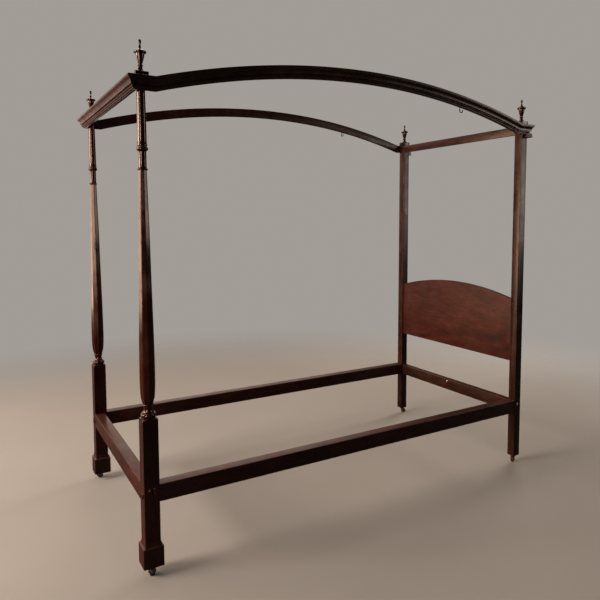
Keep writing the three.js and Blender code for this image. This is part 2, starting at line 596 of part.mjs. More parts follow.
// A covered urn on a square plinth, made from one block and bored for its pin.
function finial(name, x, y) {
  const top = TESTER_TOP + PLINTH.height;
  const step = TESTER_TOP + PLINTH_FOOT.height;
  const [half, footHalf] = [PLINTH.width / 2, PLINTH_FOOT.width / 2];
  const plinth = block([-half, half], [-half, half], [step, top]);
  const plinthFoot = block([-footHalf, footHalf], [-footHalf, footHalf], [TESTER_TOP + GAP, step + 1]);
  const urn = turned([[0, top - 2], [17, top - 2], [17, 1864],
    ...smooth([[15.5, 1865], [10.5, 1871], [7.2, 1879]], 5), ...bead(8.6, 1.2, 1883, 1888, 3),
    ...smooth([[7.3, 1890], [11.8, 1906], [15, 1919], [16, 1927]], 5),
    ...bead(21, 1.5, 1929, 1936, 3), ...smooth([[17.5, 1938.5], [9.5, 1942.5], [5.2, 1947.5], [3.7, 1955]], 5),
    ...smooth([[3.8, 1962], [5.8, 1969], [4.4, 1975]], 3), [1.6, 1978], [0, 1979]], 14);
  const bore = rod(PIN_DIAMETER + 2 * GAP, TESTER_TOP - 5, TESTER_TOP + PIN_STANDOUT + 1);
  addPiece(name, toGeometry(cut(join(plinth, plinthFoot, urn), bore).translate([x, y, 0])), 'postWood');
}

function testerPin(name, x, y, low) {
  addPiece(name, rod(PIN_DIAMETER, low, TESTER_TOP + PIN_STANDOUT, 12).translate(x, y, 0), 'steel');
}

// ---- canopy hooks -------------------------------------------------------------------------------
const HOOK = { inset: 5, wire: 4.6, drop: 14, radius: 10, tip: 4, thread: 14, steps: 6 };
// The right hook opens toward the head and the left one toward the middle of the bed.
const HOOKS = { right: { y: 536, inward: false }, left: { y: 505, inward: true } };

const bowUnderside = (y) => ARCH_CENTRE_Z + Math.sqrt(ARCH_RADIUS ** 2 - y ** 2);

// A screw hook under the bow: a straight shank, a half round and a short upturned tip.
function canopyHook(side, sx) {
  const x = sx * (HALF_WIDTH - HOOK.inset);
  const { y, inward } = HOOKS[side];
  const under = bowUnderside(y);
  const bendZ = under - HOOK.drop;
  const point = (out, z) => new THREE.Vector3(inward ? x - sx * out : x, inward ? y : y + out, z);
  const points = [HOOK.thread, HOOK.thread / 2, 0, -HOOK.drop / 2].map((rise) => point(0, under + rise));
  for (let i = 0; i <= HOOK.steps; i++) {
    const angle = Math.PI * i / HOOK.steps;
    points.push(point(HOOK.radius * (1 - Math.cos(angle)), bendZ - HOOK.radius * Math.sin(angle)));
  }
  points.push(point(2 * HOOK.radius, bendZ + HOOK.tip));
  const section = new THREE.Shape();
  section.absarc(0, 0, HOOK.wire / 2, 0, Math.PI * 2, false);
  const path = new THREE.CatmullRomCurve3(points, false, 'centripetal');
  const body = new THREE.ExtrudeGeometry(section,
    { steps: 20, extrudePath: path, bevelEnabled: false, curveSegments: 4 });
  addPiece(`canopy_hook_${side}`, body, 'bronze');
}

function hookHole(sx) {
  const { y } = sx > 0 ? HOOKS.right : HOOKS.left;
  const under = bowUnderside(y);
  return rod(HOOK.wire + 4 * GAP, under - 10, under + HOOK.thread + 1, 12)
    .translate(sx * (HALF_WIDTH - HOOK.inset), y, 0);
}

// ---- casters ------------------------------------------------------------------------------------
const STEM = { diameter: 9, length: 40 };

function casterSocket(base) {
  return rod(STEM.diameter + 2 * GAP, base - 5, base + STEM.length + 1);
}

// A caster is a horn that turns on its stem in the post and a wheel that trails behind the stem.
// It is drawn trailing along +Y and then turned about its stem, counterclockwise in degrees.
function caster(place, side, x, y, base, size, turn, finish) {
  const { radius, width, trail } = size;
  const angle = THREE.MathUtils.degToRad(turn);
  const plateTop = base - GAP;
  const plateBottom = plateTop - 3;
  const crownBottom = 2 * radius + 2;
  const cheekInner = width / 2 + 1;
  const cheekOuter = cheekInner + 2.5;

  const stem = turned([[0, plateBottom], [15, plateBottom], [15, plateTop - 0.8], [14, plateTop],
    [STEM.diameter / 2, plateTop], [STEM.diameter / 2, base + STEM.length], [0, base + STEM.length]], 16);
  const cheek = new THREE.Shape();
  cheek.moveTo(-9, plateBottom + 1);
  cheek.lineTo(trail - 5.5, radius);
  cheek.absarc(trail, radius, 5.5, Math.PI, 2 * Math.PI, false);
  cheek.lineTo(11, plateBottom + 1);
  const cheeks = [1, -1].map((s) => acrossBed(cheek, s * cheekInner, s * cheekOuter, 6));
  const crown = block([-cheekOuter, cheekOuter], [-9, 11], [crownBottom, plateBottom + 1]);
  const axle = alongX(rod(5, -cheekOuter - 1, cheekOuter + 1, 12), 1).translate(0, trail, radius);
  const horn = toGeometry(join(stem, crown, ...cheeks, axle)).rotateZ(angle).translate(x, y, 0);
  addPiece(`${place}_caster_horn_${side}`, horn, finish);

  const half = width / 2;
  const wheel = turned([[2.9, -half], [radius * 0.42, -half], [radius * 0.5, 1.8 - half],
    [radius * 0.74, 1.8 - half], [radius * 0.82, -half], [radius - 1.5, -half], [radius, 2 - half],
    [radius, half - 2], [radius - 1.5, half], [radius * 0.82, half], [radius * 0.74, half - 1.8],
    [radius * 0.5, half - 1.8], [radius * 0.42, half], [2.9, half], [2.9, -half]], 24);
  alongX(wheel, 1).translate(0, trail, radius).rotateZ(angle).translate(x, y, 0);
  addPiece(`${place}_caster_wheel_${side}`, wheel, finish);
}

const FOOT_CASTER = { radius: 14.5, width: 19, trail: 15 };
const HEAD_CASTER = { radius: 14, width: 14, trail: 10 };
const CASTER_TURN = {
  foot: { right: -100, left: 115 },
  head: { right: -155, left: -50 },
};

// ---- assembly -----------------------------------------------------------------------------------
for (const [side, sx] of SIDES) {
  footPost(side, sx);
  footBlock(side, sx);
  headPost(side, sx);
  sideRail(side, sx);
  testerArch(side, sx);
  sideCornice(side, sx);
  corniceReturn(side, sx);
  canopyHook(side, sx);
  finial(`finial_foot_${side}`, sx * FOOT_X, FOOT_Y);
  finial(`finial_head_${side}`, sx * HEAD_X, HEAD_Y);
  testerPin(`tester_pin_foot_${side}`, sx * FOOT_X, FOOT_Y, FOOT_POST_TOP - PIN_DEPTH);
  testerPin(`tester_pin_head_${side}`, sx * HEAD_X, HEAD_Y, TESTER_TOP - PIN_DEPTH);
  caster('foot', side, sx * FOOT_X, FOOT_Y, FOOT_BASE, FOOT_CASTER, CASTER_TURN.foot[side], 'iron');
  caster('head', side, sx * HEAD_X, HEAD_Y, HEAD_BASE, HEAD_CASTER, CASTER_TURN.head[side], 'brass');
}
footRail();
headRail();
headRailPeg();
headboard();
testerFootRail();
testerHeadRail();
footCornice();
for (const bolt of bolts) {
  bedBolt(bolt);
  bedNut(bolt);
  if (bolt.atFoot) boltCover(bolt);
}

export default bed;
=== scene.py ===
import math
import random

import bmesh
import bpy
from mathutils import Matrix, Vector


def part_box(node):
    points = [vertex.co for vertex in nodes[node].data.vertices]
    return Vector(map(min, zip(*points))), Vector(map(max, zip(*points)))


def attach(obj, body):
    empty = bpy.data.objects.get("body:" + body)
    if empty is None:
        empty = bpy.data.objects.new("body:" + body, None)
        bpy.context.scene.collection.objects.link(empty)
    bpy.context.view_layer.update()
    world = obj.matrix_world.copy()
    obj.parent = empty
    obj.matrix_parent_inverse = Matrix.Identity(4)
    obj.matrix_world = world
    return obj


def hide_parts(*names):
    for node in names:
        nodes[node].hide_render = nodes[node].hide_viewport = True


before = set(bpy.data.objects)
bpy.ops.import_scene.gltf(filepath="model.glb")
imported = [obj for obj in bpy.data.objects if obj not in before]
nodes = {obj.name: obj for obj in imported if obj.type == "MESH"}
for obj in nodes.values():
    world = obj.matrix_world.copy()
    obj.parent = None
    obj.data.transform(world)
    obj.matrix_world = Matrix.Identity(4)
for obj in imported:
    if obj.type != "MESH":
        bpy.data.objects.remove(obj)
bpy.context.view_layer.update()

# The looks of the bed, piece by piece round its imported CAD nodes. Lengths of shapes are in
# millimetres, and the scene, the lights and the camera are in metres.
MM = 0.001
SIDES = (("right", 1), ("left", -1))
JOINT_GAP = 0.3            # between two pieces that meet
SHARP = math.radians(25)   # an edge that turns more than this is an arris


# ---- meshes -------------------------------------------------------------------------------------
def middle(node):
    """Middle of a CAD node's box in the bed's frame, in millimetres."""
    low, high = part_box(node)
    return (low + high) / 2 / MM


def limits(node):
    """Low and high corners of a CAD node's box, in millimetres."""
    low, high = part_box(node)
    return low / MM, high / MM


def catmull(points, steps):
    """A smooth curve through points, with `steps` pieces in all."""
    out = []
    for i in range(steps + 1):
        place = (len(points) - 1) * i / steps
        k = min(int(place), len(points) - 2)
        w = place - k
        p0, p1 = points[max(k - 1, 0)], points[k]
        p2, p3 = points[k + 1], points[min(k + 2, len(points) - 1)]
        out.append(tuple(
            0.5 * ((2 * b) + (c - a) * w + (2 * a - 5 * b + 4 * c - d) * w * w
                   + (3 * b - a - 3 * c + d) * w ** 3)
            for a, b, c, d in zip(p0, p1, p2, p3)))
    return out


def bead(radius, swell, low, high, steps=14):
    """A half-round moulding in a turned profile."""
    return [(radius + swell * math.cos(math.pi * (i / steps - 0.5)),
             (low + high) / 2 + (high - low) / 2 * math.sin(math.pi * (i / steps - 0.5)))
            for i in range(steps + 1)]


def hollow(wide, narrow, steps=12):
    """A quarter-round hollow in a turned profile, from its wide end to its narrow one."""
    return [(wide[0] - (wide[0] - narrow[0]) * math.sin(math.pi / 2 * i / steps),
             narrow[1] - (narrow[1] - wide[1]) * math.cos(math.pi / 2 * i / steps))
            for i in range(steps + 1)]


def soften(profile, radius=0.35):
    """Takes the sharp corners off a turned profile, as sanding and polish do."""
    out = [profile[0]]
    for before, here, after in zip(profile, profile[1:], profile[2:]):
        a, b, c = Vector(before), Vector(here), Vector(after)
        one, two = a - b, c - b
        if one.length < 1e-6 or two.length < 1e-6 or one.angle(two) > math.radians(155):
            out.append(here)
            continue
        trim = min(radius, one.length * 0.4, two.length * 0.4)
        start, end = b + one.normalized() * trim, b + two.normalized() * trim
        out += [tuple(start), tuple((start + end) / 4 + b / 2), tuple(end)]
    return out + [profile[-1]]


def add_rings(bm, rings, closed_ends=True):
    """Skins a list of equal closed rings of points."""
    loops = [[bm.verts.new(Vector(p) * MM) for p in ring] for ring in rings]
    count = len(loops[0])
    for lower, upper in zip(loops, loops[1:]):
        for i in range(count):
            j = (i + 1) % count
            bm.faces.new((lower[i], lower[j], upper[j], upper[i]))
    if closed_ends:
        bm.faces.new(list(reversed(loops[0])))
        bm.faces.new(loops[-1])
    return loops


def circle(radius, height, segments, place):
    turns = [2 * math.pi * i / segments for i in range(segments)]
    return [place @ Vector((radius * math.cos(a), radius * math.sin(a), height)) for a in turns]


def add_turned(bm, profile, segments=72, place=Matrix.Identity(4)):
    """A turned solid from (radius, height) points listed upwards, both ends closed flat."""
    add_rings(bm, [circle(max(radius, 0.02), height, segments, place)
                   for radius, height in profile])


def add_beam(bm, low, high, radius=1.4, segments=3, place=Matrix.Identity(4)):
    """A square-edged beam with every arris rounded."""
    corners = bmesh.ops.create_cube(bm, size=1.0)["verts"]
    size, centre = Vector(high) - Vector(low), (Vector(high) + Vector(low)) / 2
    for v in corners:
        v.co = (place @ (Vector(c * s for c, s in zip(v.co, size)) + centre)) * MM
    edges = list(dict.fromkeys(e for v in corners for e in v.link_edges))
    bmesh.ops.bevel(bm, geom=edges, offset=radius * MM, segments=segments, profile=0.5,
                    affect="EDGES")


def add_extruded(bm, outline, low, high, radius=1.2, segments=3):
    """An outline in Y and Z extruded along X from low to high, every arris rounded."""
    start = bm.faces.new([bm.verts.new(Vector((low, y, z)) * MM) for y, z in outline])
    result = bmesh.ops.extrude_face_region(bm, geom=[start])["geom"]
    moved = [g for g in result if isinstance(g, bmesh.types.BMVert)]
    for v in moved:
        v.co.x = high * MM
    bm.normal_update()
    sharp = [e for e in bm.edges if e.is_manifold and e.calc_face_angle() > SHARP]
    bmesh.ops.bevel(bm, geom=sharp, offset=radius * MM, segments=segments, profile=0.5,
                    affect="EDGES", clamp_overlap=True)


def make(name, bm, material, body, replaced, holes=None, smooth=32):
    """Turns a mesh into a piece that rides on a body and stands for a list of CAD nodes."""
    bmesh.ops.recalc_face_normals(bm, faces=bm.faces)
    mesh = bpy.data.meshes.new(name)
    bm.to_mesh(mesh)
    bm.free()
    piece = bpy.data.objects.new(name, mesh)
    bpy.context.scene.collection.objects.link(piece)
    if holes is not None:
        piece.data = carve(piece, holes)
        bpy.data.meshes.remove(mesh)
        piece.data.name = name
    for polygon in piece.data.polygons:
        polygon.use_smooth = True
    piece.data.set_sharp_from_angle(angle=math.radians(smooth))
    piece.data.materials.clear()
    piece.data.materials.append(material)
    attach(piece, body)
    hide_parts(*replaced)
    return piece


def carve(piece, holes):
    """Cuts the closed shapes of one mesh out of a piece."""
    bmesh.ops.recalc_face_normals(holes, faces=holes.faces)
    mesh = bpy.data.meshes.new("cutter")
    holes.to_mesh(mesh)
    holes.free()
    cutter = bpy.data.objects.new("cutter", mesh)
    bpy.context.scene.collection.objects.link(cutter)
    modifier = piece.modifiers.new("holes", "BOOLEAN")
    modifier.operation, modifier.solver, modifier.object = "DIFFERENCE", "EXACT", cutter
    bpy.context.view_layer.update()
    depsgraph = bpy.context.evaluated_depsgraph_get()
    result = bpy.data.meshes.new_from_object(piece.evaluated_get(depsgraph))
    piece.modifiers.clear()
    bpy.data.objects.remove(cutter)
    bpy.data.meshes.remove(mesh)
    return result


def along(axis, sign, origin):
    """Places a shape drawn about Z so that its top points along an axis."""
    turn = {"x": Matrix.Rotation(sign * math.pi / 2, 4, "Y"),
            "y": Matrix.Rotation(-sign * math.pi / 2, 4, "X")}[axis]
    return Matrix.Translation(Vector(origin)) @ turn


# ---- materials ----------------------------------------------------------------------------------
class Graph:
    """Short calls for building one material's node tree."""

    def __init__(self, name):
        self.material = bpy.data.materials.new(name)
        self.material.use_nodes = True
        self.tree = self.material.node_tree
        self.tree.nodes.clear()
        self.shader = self.node("ShaderNodeBsdfPrincipled")
        self.output = self.node("ShaderNodeOutputMaterial")
        self.tree.links.new(self.shader.outputs[0], self.output.inputs[0])

    def node(self, kind, **settings):
        node = self.tree.nodes.new(kind)
        for key, value in settings.items():
            setattr(node, key, value)
        return node

    def feed(self, socket, value):
        if isinstance(value, bpy.types.NodeSocket):
            self.tree.links.new(value, socket)
        else:
            socket.default_value = value

    def math(self, operation, a, b=0.0, clamp=False):
        node = self.node("ShaderNodeMath", operation=operation, use_clamp=clamp)
        self.feed(node.inputs[0], a)
        self.feed(node.inputs[1], b)
        return node.outputs[0]

    def vector(self, operation, a, b):
        node = self.node("ShaderNodeVectorMath", operation=operation)
        self.feed(node.inputs[0], a)
        self.feed(node.inputs[1], b)
        return node.outputs[1] if operation == "LENGTH" else node.outputs[0]

    def scaled(self, vector, scale):
        return self.vector("MULTIPLY", vector, scale)

    def noise(self, vector, scale, detail=3.0, rough=0.5, distortion=0.0):
        node = self.node("ShaderNodeTexNoise")
        self.feed(node.inputs["Vector"], vector)
        for key, value in (("Scale", scale), ("Detail", detail), ("Roughness", rough),
                           ("Distortion", distortion)):
            node.inputs[key].default_value = value
        return node.outputs[0]

    def line_noise(self, value, scale, detail=2.0):
        node = self.node("ShaderNodeTexNoise", noise_dimensions="1D")
        self.feed(node.inputs["W"], value)
        node.inputs["Scale"].default_value = scale
        node.inputs["Detail"].default_value = detail
        return node.outputs[0]

    def span(self, value, low, high, out_low=0.0, out_high=1.0):
        node = self.node("ShaderNodeMapRange", interpolation_type="SMOOTHSTEP")
        for i, v in enumerate((value, low, high, out_low, out_high)):
            self.feed(node.inputs[i], v)
        return node.outputs[0]

    def ramp(self, value, stops):
        node = self.node("ShaderNodeValToRGB")
        self.feed(node.inputs[0], value)
        elements = node.color_ramp.elements
        while len(elements) < len(stops):
            elements.new(0.5)
        for element, (position, colour) in zip(elements, stops):
            element.position = position
            element.color = (*colour, 1.0)
        return node.outputs[0]

    def mix(self, share, a, b, blend="MIX"):
        node = self.node("ShaderNodeMix", data_type="RGBA", blend_type=blend)
        for socket, value in ((node.inputs[0], share), (node.inputs[6], a), (node.inputs[7], b)):
            if isinstance(value, tuple):
                value = (*value, 1.0)
            self.feed(socket, value)
        return node.outputs[2]

    def bump(self, height, strength, distance, normal=None):
        node = self.node("ShaderNodeBump")
        node.inputs["Strength"].default_value = strength
        node.inputs["Distance"].default_value = distance
        self.feed(node.inputs["Height"], height)
        if normal is not None:
            self.feed(node.inputs["Normal"], normal)
        return node.outputs[0]

    def colour_noise(self, vector, scale):
        """Noise with a different value in each channel."""
        node = self.node("ShaderNodeTexNoise")
        self.feed(node.inputs["Vector"], vector)
        node.inputs["Scale"].default_value = scale
        node.inputs["Detail"].default_value = 2.0
        return node.outputs[1]

    def about(self, value, middle, share):
        """How far a value is from a middle one, times a share."""
        return self.math("MULTIPLY", self.math("SUBTRACT", value, middle), share)

    def product(self, a, b, c=None):
        both = self.math("MULTIPLY", a, b)
        return both if c is None else self.math("MULTIPLY", both, c)

    def edges(self, radius):
        """About 1 on an arris and 0 away from it."""
        bevel = self.node("ShaderNodeBevel", samples=4)
        bevel.inputs["Radius"].default_value = radius
        geometry = self.node("ShaderNodeNewGeometry")
        dot = self.node("ShaderNodeVectorMath", operation="DOT_PRODUCT")
        self.feed(dot.inputs[0], bevel.outputs[0])
        self.feed(dot.inputs[1], geometry.outputs["True Normal"])
        return self.span(dot.outputs["Value"], 0.995, 0.86)

    def recess(self, distance):
        """About 1 deep in a groove and 0 in the open."""
        node = self.node("ShaderNodeAmbientOcclusion", samples=4, only_local=True)
        node.inputs["Distance"].default_value = distance
        return self.span(node.outputs["AO"], 0.95, 0.35)

    def upward(self):
        """About 1 on a face that looks up and 0 on an upright one."""
        geometry = self.node("ShaderNodeNewGeometry")
        parts = self.node("ShaderNodeSeparateXYZ")
        self.feed(parts.inputs[0], geometry.outputs["Normal"])
        return self.span(parts.outputs[2], 0.55, 0.98)


# How a noise is squeezed along each axis, so that it stretches along the grain.
GRAIN = {"x": (0.045, 1.0, 1.0), "y": (1.0, 0.045, 1.0), "z": (1.0, 1.0, 0.045)}

# Darkest to lightest tones of each wood, as the finish shows them.
DARK_WOOD = ((0.008, 0.0012, 0.0008), (0.030, 0.0042, 0.0022),
             (0.075, 0.0125, 0.0055), (0.160, 0.0360, 0.0140))
RED_WOOD = ((0.010, 0.0014, 0.0009), (0.038, 0.0050, 0.0026),
            (0.085, 0.0140, 0.0062), (0.165, 0.0360, 0.0150))
BROWN_WOOD = ((0.014, 0.0038, 0.0022), (0.037, 0.0105, 0.0054),
              (0.070, 0.0220, 0.0110), (0.140, 0.0500, 0.0260))
BOARD_WOOD = ((0.026, 0.0033, 0.0015), (0.062, 0.0080, 0.0033),
              (0.094, 0.0145, 0.0060), (0.150, 0.0330, 0.0150))
POST_WOOD = ((0.007, 0.0009, 0.0005), (0.032, 0.0040, 0.0018),
             (0.080, 0.0125, 0.0045), (0.160, 0.0360, 0.0130))
TONE_STOPS = (0.22, 0.44, 0.60, 0.84)
# Painted shade with some grime, for the quirks, grooves and joints.
QUIRK_SHADE_AND_GRIME_COLOUR = (0.006, 0.0022, 0.0015)
DUST_COLOUR = (0.135, 0.060, 0.036)
SCUFF_TINT = (0.95, 1.5, 2.2)         # a scuff against the lightest tone


def wood(name, grain, tones, rough=0.30, coat=0.35, wear=0.5, figure=0.5, dust=0.25, relief=1.0,
         scuffs=0.0, shine=0.5):
    """Old polished mahogany whose grain runs along one axis of the bed.

    rough is the polish's roughness, coat the varnish on it, wear the rubbing on the arrises,
    figure the ribbon grain, relief how far the surface is off flat, and shine how it mirrors.
    """
    rng = random.Random(name)
    g = Graph(name)
    coords = g.node("ShaderNodeTexCoord").outputs["Object"]
    placed = g.vector("ADD", coords, tuple(rng.uniform(-4, 4) for _ in range(3)))

    def drawn(vector, share):
        """Squeezes a vector to a share of itself along the grain."""
        return g.scaled(vector, tuple(share if s < 1 else 1.0 for s in GRAIN[grain]))

    # Fibres wander a little, so no streak is dead straight.
    wander = g.scaled(g.vector("SUBTRACT", g.colour_noise(placed, 2.2), (0.5, 0.5, 0.5)),
                      (0.030, 0.030, 0.030))
    flow = g.vector("ADD", placed, wander)
    streaks = g.noise(g.scaled(flow, GRAIN[grain]), 260.0, 7.0, 0.66)
    ribbons = g.noise(drawn(flow, 0.16), 58.0, 5.0, 0.62, 0.5)
    pith = tuple(rng.uniform(0.05, 0.12) for _ in range(3))
    across = g.vector("ADD", drawn(flow, 0.10), pith)
    rings = g.line_noise(g.vector("LENGTH", across, (0, 0, 0)), rng.uniform(150, 210), 3.0)
    blotches = g.noise(placed, 3.4, 4.0, 0.55, 0.3)

    tone = g.math("ADD", g.product(streaks, 0.46), g.product(rings, 0.30))
    tone = g.math("ADD", tone, g.product(ribbons, 0.24))
    tone = g.math("ADD", tone, g.about(ribbons, 0.5, figure))
    tone = g.math("ADD", tone, g.about(blotches, 0.5, 0.45), clamp=True)
    colour = g.ramp(tone, list(zip(TONE_STOPS, tones)))

    # Open pores, short dark dashes that run with the grain.
    pores = g.span(g.noise(drawn(flow, 0.05), 1500.0, 2.0, 0.5), 0.60, 0.70)
    colour = g.mix(g.product(pores, 0.55), colour, tuple(c * 0.35 for c in tones[0]))

    # Painted shade and grime darken the quirks, and old polish is rubbed, knocked and scuffed
    # elsewhere.
    colour = g.mix(g.product(g.recess(0.010), 0.70), colour, QUIRK_SHADE_AND_GRIME_COLOUR)
    patchy = g.span(g.noise(placed, 34.0, 4.0, 0.65), 0.38, 0.66)
    rubbed = g.product(g.edges(0.0026), patchy, wear)
    colour = g.mix(rubbed, colour, tones[3])
    knocks = g.product(g.span(g.noise(placed, 46.0, 5.0, 0.7, 0.8), 0.66, 0.74), wear * 0.8)
    colour = g.mix(g.product(knocks, 0.6), colour, tones[3])
    scuff_area = g.span(g.noise(placed, 7.0, 3.0, 0.6, 0.6), 0.46, 0.72)
    scuff_lines = g.span(g.noise(drawn(placed, 0.35), 120.0, 5.0, 0.75), 0.44, 0.66)
    colour = g.mix(g.product(scuff_area, scuff_lines, scuffs), colour,
                   tuple(c * k for c, k in zip(tones[3], SCUFF_TINT)))
    settled = g.product(g.upward(), g.span(blotches, 0.30, 0.65, 0.45, 1.0), dust)
    colour = g.mix(settled, colour, DUST_COLOUR)
    g.feed(g.shader.inputs["Base Color"], colour)

    # Polish is uneven: hazy patches, fine hairlines, dull pores.
    haze = g.noise(placed, 9.0, 5.0, 0.62, 0.6)
    hairlines = g.span(g.noise(drawn(placed, 0.02), 900.0, 1.0), 0.66, 0.74)
    roughness = g.span(haze, 0.30, 0.70, rough - 0.07, rough + 0.10)
    for mark, share in ((pores, 0.12), (hairlines, 0.14), (rubbed, 0.16)):
        roughness = g.math("ADD", roughness, g.product(mark, share))
    roughness = g.math("ADD", roughness, g.product(settled, 0.40), clamp=True)
    g.feed(g.shader.inputs["Roughness"], roughness)

    # Hand-planed faces are not quite flat, and the grain stands a little proud.
    planed = g.bump(g.noise(drawn(placed, 0.35), 16.0, 2.0), 0.30 * relief, 0.0010)
    sunk = g.math("ADD", pores, g.product(knocks, 0.8))
    raised = g.math("SUBTRACT", g.product(streaks, 0.4), sunk)
    g.feed(g.shader.inputs["Normal"], g.bump(raised, 0.20 * relief, 0.00020, planed))
    for key, value in (("Specular IOR Level", shine), ("Specular Tint", (1.0, 0.76, 0.62, 1.0)),
                       ("Coat Weight", coat), ("Coat Roughness", 0.16), ("Coat IOR", 1.52)):
        g.shader.inputs[key].default_value = value
    return g.material


def metal(name, bright, tarnish, dirt, rough=0.35, grain=70.0, cover=0.55, bump=0.25):
    """Old metal: bright where it is rubbed, tarnished elsewhere and dirty in the recesses."""
    rng = random.Random(name)
    g = Graph(name)
    coords = g.vector("ADD", g.node("ShaderNodeTexCoord").outputs["Object"],
                      tuple(rng.uniform(-4, 4) for _ in range(3)))
    clouds = g.noise(coords, grain, 6.0, 0.65, 0.5)
    specks = g.noise(coords, grain * 9, 4.0, 0.6)
    dull = g.span(g.math("ADD", clouds, g.about(specks, 0.5, 0.35)),
                  0.62 - cover * 0.4, 0.78 - cover * 0.4)
    rubbed = g.product(g.edges(0.0012), g.span(specks, 0.35, 0.60))
    dull = g.math("SUBTRACT", dull, g.product(rubbed, 0.7), clamp=True)
    colour = g.mix(dull, bright, tarnish)
    pits = g.span(g.noise(coords, grain * 14, 2.0), 0.62, 0.70)
    dirty = g.math("MAXIMUM", g.product(g.recess(0.004), 0.85), g.product(pits, 0.5))
    colour = g.mix(dirty, colour, dirt)
    g.feed(g.shader.inputs["Base Color"], colour)
    g.feed(g.shader.inputs["Metallic"], g.math("SUBTRACT", 1.0, g.product(dirty, 0.6)))
    roughness = g.math("ADD", g.span(clouds, 0.3, 0.7, rough - 0.10, rough + 0.14),
                       g.product(dull, 0.12))
    roughness = g.math("ADD", roughness, g.product(dirty, 0.30), clamp=True)
    g.feed(g.shader.inputs["Roughness"], roughness)
    height = g.math("SUBTRACT", g.product(clouds, 0.7), g.math("ADD", pits, g.product(specks, 0.3)))
    g.feed(g.shader.inputs["Normal"], g.bump(height, bump, 0.0003))
    return g.material


# ---- foot posts ---------------------------------------------------------------------------------
# Angles round a post, closest together at the arrises of its square and eight-sided parts.
OFFSETS = (-20, -16, -12, -8.5, -5.5, -3.2, -1.7, -0.7, 0, 0.7, 1.7, 3.2, 5.5, 8.5, 12, 16, 20,
           22.5)
ANGLES = [math.radians(45 * k + offset) for k in range(8) for offset in OFFSETS]


def square_reach(half, soft=1.5):
    """Radius of a square with softened corners, for each angle."""
    corner = half * math.sqrt(2) - soft * (math.sqrt(2) - 1) * 1.6
    return [min(half / max(abs(math.cos(a)), abs(math.sin(a))), corner) for a in ANGLES]


def eight_reach(radius, soft=0.30):
    """Radius of an octagon with an arris on each axis."""
    apothem = radius * math.cos(math.pi / 8)
    out = []
    for a in ANGLES:
        off = (a + math.pi / 8) % (math.pi / 4) - math.pi / 8
        out.append(min(apothem / math.cos(math.pi / 8 - abs(off)), radius - soft))
    return out


def polar(centre, reach, z):
    """A level ring whose radius at each angle is its reach."""
    return [(centre[0] + r * math.cos(a), centre[1] + r * math.sin(a), z)
            for r, a in zip(reach, ANGLES)]


# Turned profiles as (radius, height), from the square part up.
SHAFT = [(19, 656), (25.8, 681), (28.6, 722), (29, 780), (27.8, 885), (25.6, 1005), (23.1, 1130),
         (20.9, 1280), (18.3, 1390), (15.5, 1515)]
POST_BASE = soften([(24, 599), (24, 605)] + bead(24.5, 4, 606, 621)
                   + hollow((24.5, 623), (15.8, 641)) + [(17.8, 648)]
                   + bead(18.2, 2.8, 650, 656.5, 10) + [(18.4, 660)])
POST_NECK = soften([(14.6, 1511), (17, 1517)] + bead(17, 2, 1518, 1522, 8)
                   + [(15.4, 1524), (14.5, 1530), (14.5, 1582)] + bead(16.5, 4.5, 1586, 1599)
                   + [(16.8, 1602), (18.2, 1603.5), (18.2, 1608.5)]
                   + catmull([(16.8, 1612), (16.25, 1683), (15.5, 1743), (14.6, 1811.7)], 16))
NECK_BOTTOM = 1516.0       # where the shaft ends and the turned neck takes over
FOOT_SQUARE, FOOT_BASE, SQUARE_TOP = 29.0, 37.0, 604.0

# The rounded shoulder that turns the square off, as (radius, height from its top).
SHOULDER = ((42, -10), (40.6, -8), (38.9, -6), (36.9, -4), (34.9, -2.4), (32.4, -1.2),
            (29.6, -0.3), (28, 0))

LOWER_BOLT_Z, UPPER_BOLT_Z = 309.0, 327.0
FOOT_BORE = [(5.3, -62), (5.3, -10), (10, -10), (10.6, -0.4), (11.2, 0.6)]
HEAD_BORE = [(5.3, -50), (5.3, -8), (10, -8), (10.5, -0.4), (11.1, 0.6)]
STEM_BORE, STEM_DEPTH = 4.8, 41.0


def bolt_bores(holes, bore, centre, end_face, end_sign, side_face, side_sign):
    """Counterbored holes for the side rail's bolt and the end rail's bolt."""
    add_turned(holes, bore, 48, along("y", end_sign, (centre[0], end_face, LOWER_BOLT_Z)))
    add_turned(holes, bore, 48, along("x", side_sign, (side_face, centre[1], UPPER_BOLT_Z)))


def stem_bore(holes, centre, base):
    add_turned(holes, [(STEM_BORE, base - 5), (STEM_BORE, base + STEM_DEPTH)], 32,
               Matrix.Translation((centre[0], centre[1], 0)))


def foot_post(side, sx, material):
    centre = middle(f"finial_foot_{side}")
    square = square_reach(FOOT_SQUARE)

    def turned(profile):
        return [polar(centre, [radius] * len(ANGLES), z) for radius, z in profile]

    rings = [polar(centre, [r - 0.8 for r in square], FOOT_BASE),
             polar(centre, square, FOOT_BASE + 0.8), polar(centre, square, SQUARE_TOP - 12)]
    rings += [polar(centre, [min(r, limit) for r in square], SQUARE_TOP + z)
              for limit, z in SHOULDER]
    rings += turned(p for p in POST_BASE[:-1] if p[1] > SQUARE_TOP + 0.5)
    rings += [polar(centre, eight_reach(radius), z) for radius, z in catmull(SHAFT, 60)]
    rings += turned(p for p in POST_NECK if p[1] > NECK_BOTTOM)
    rings.sort(key=lambda ring: ring[0][2])
    bm, holes = bmesh.new(), bmesh.new()
    add_rings(bm, rings)
    low, high = limits(f"foot_post_{side}")
    bolt_bores(holes, FOOT_BORE, centre, low[1], -1, high[0] if sx > 0 else low[0], sx)
    stem_bore(holes, centre, FOOT_BASE)
    return make(f"foot_post_wood_{side}", bm, material, "frame",
                [f"foot_post_{side}"], holes, 28)


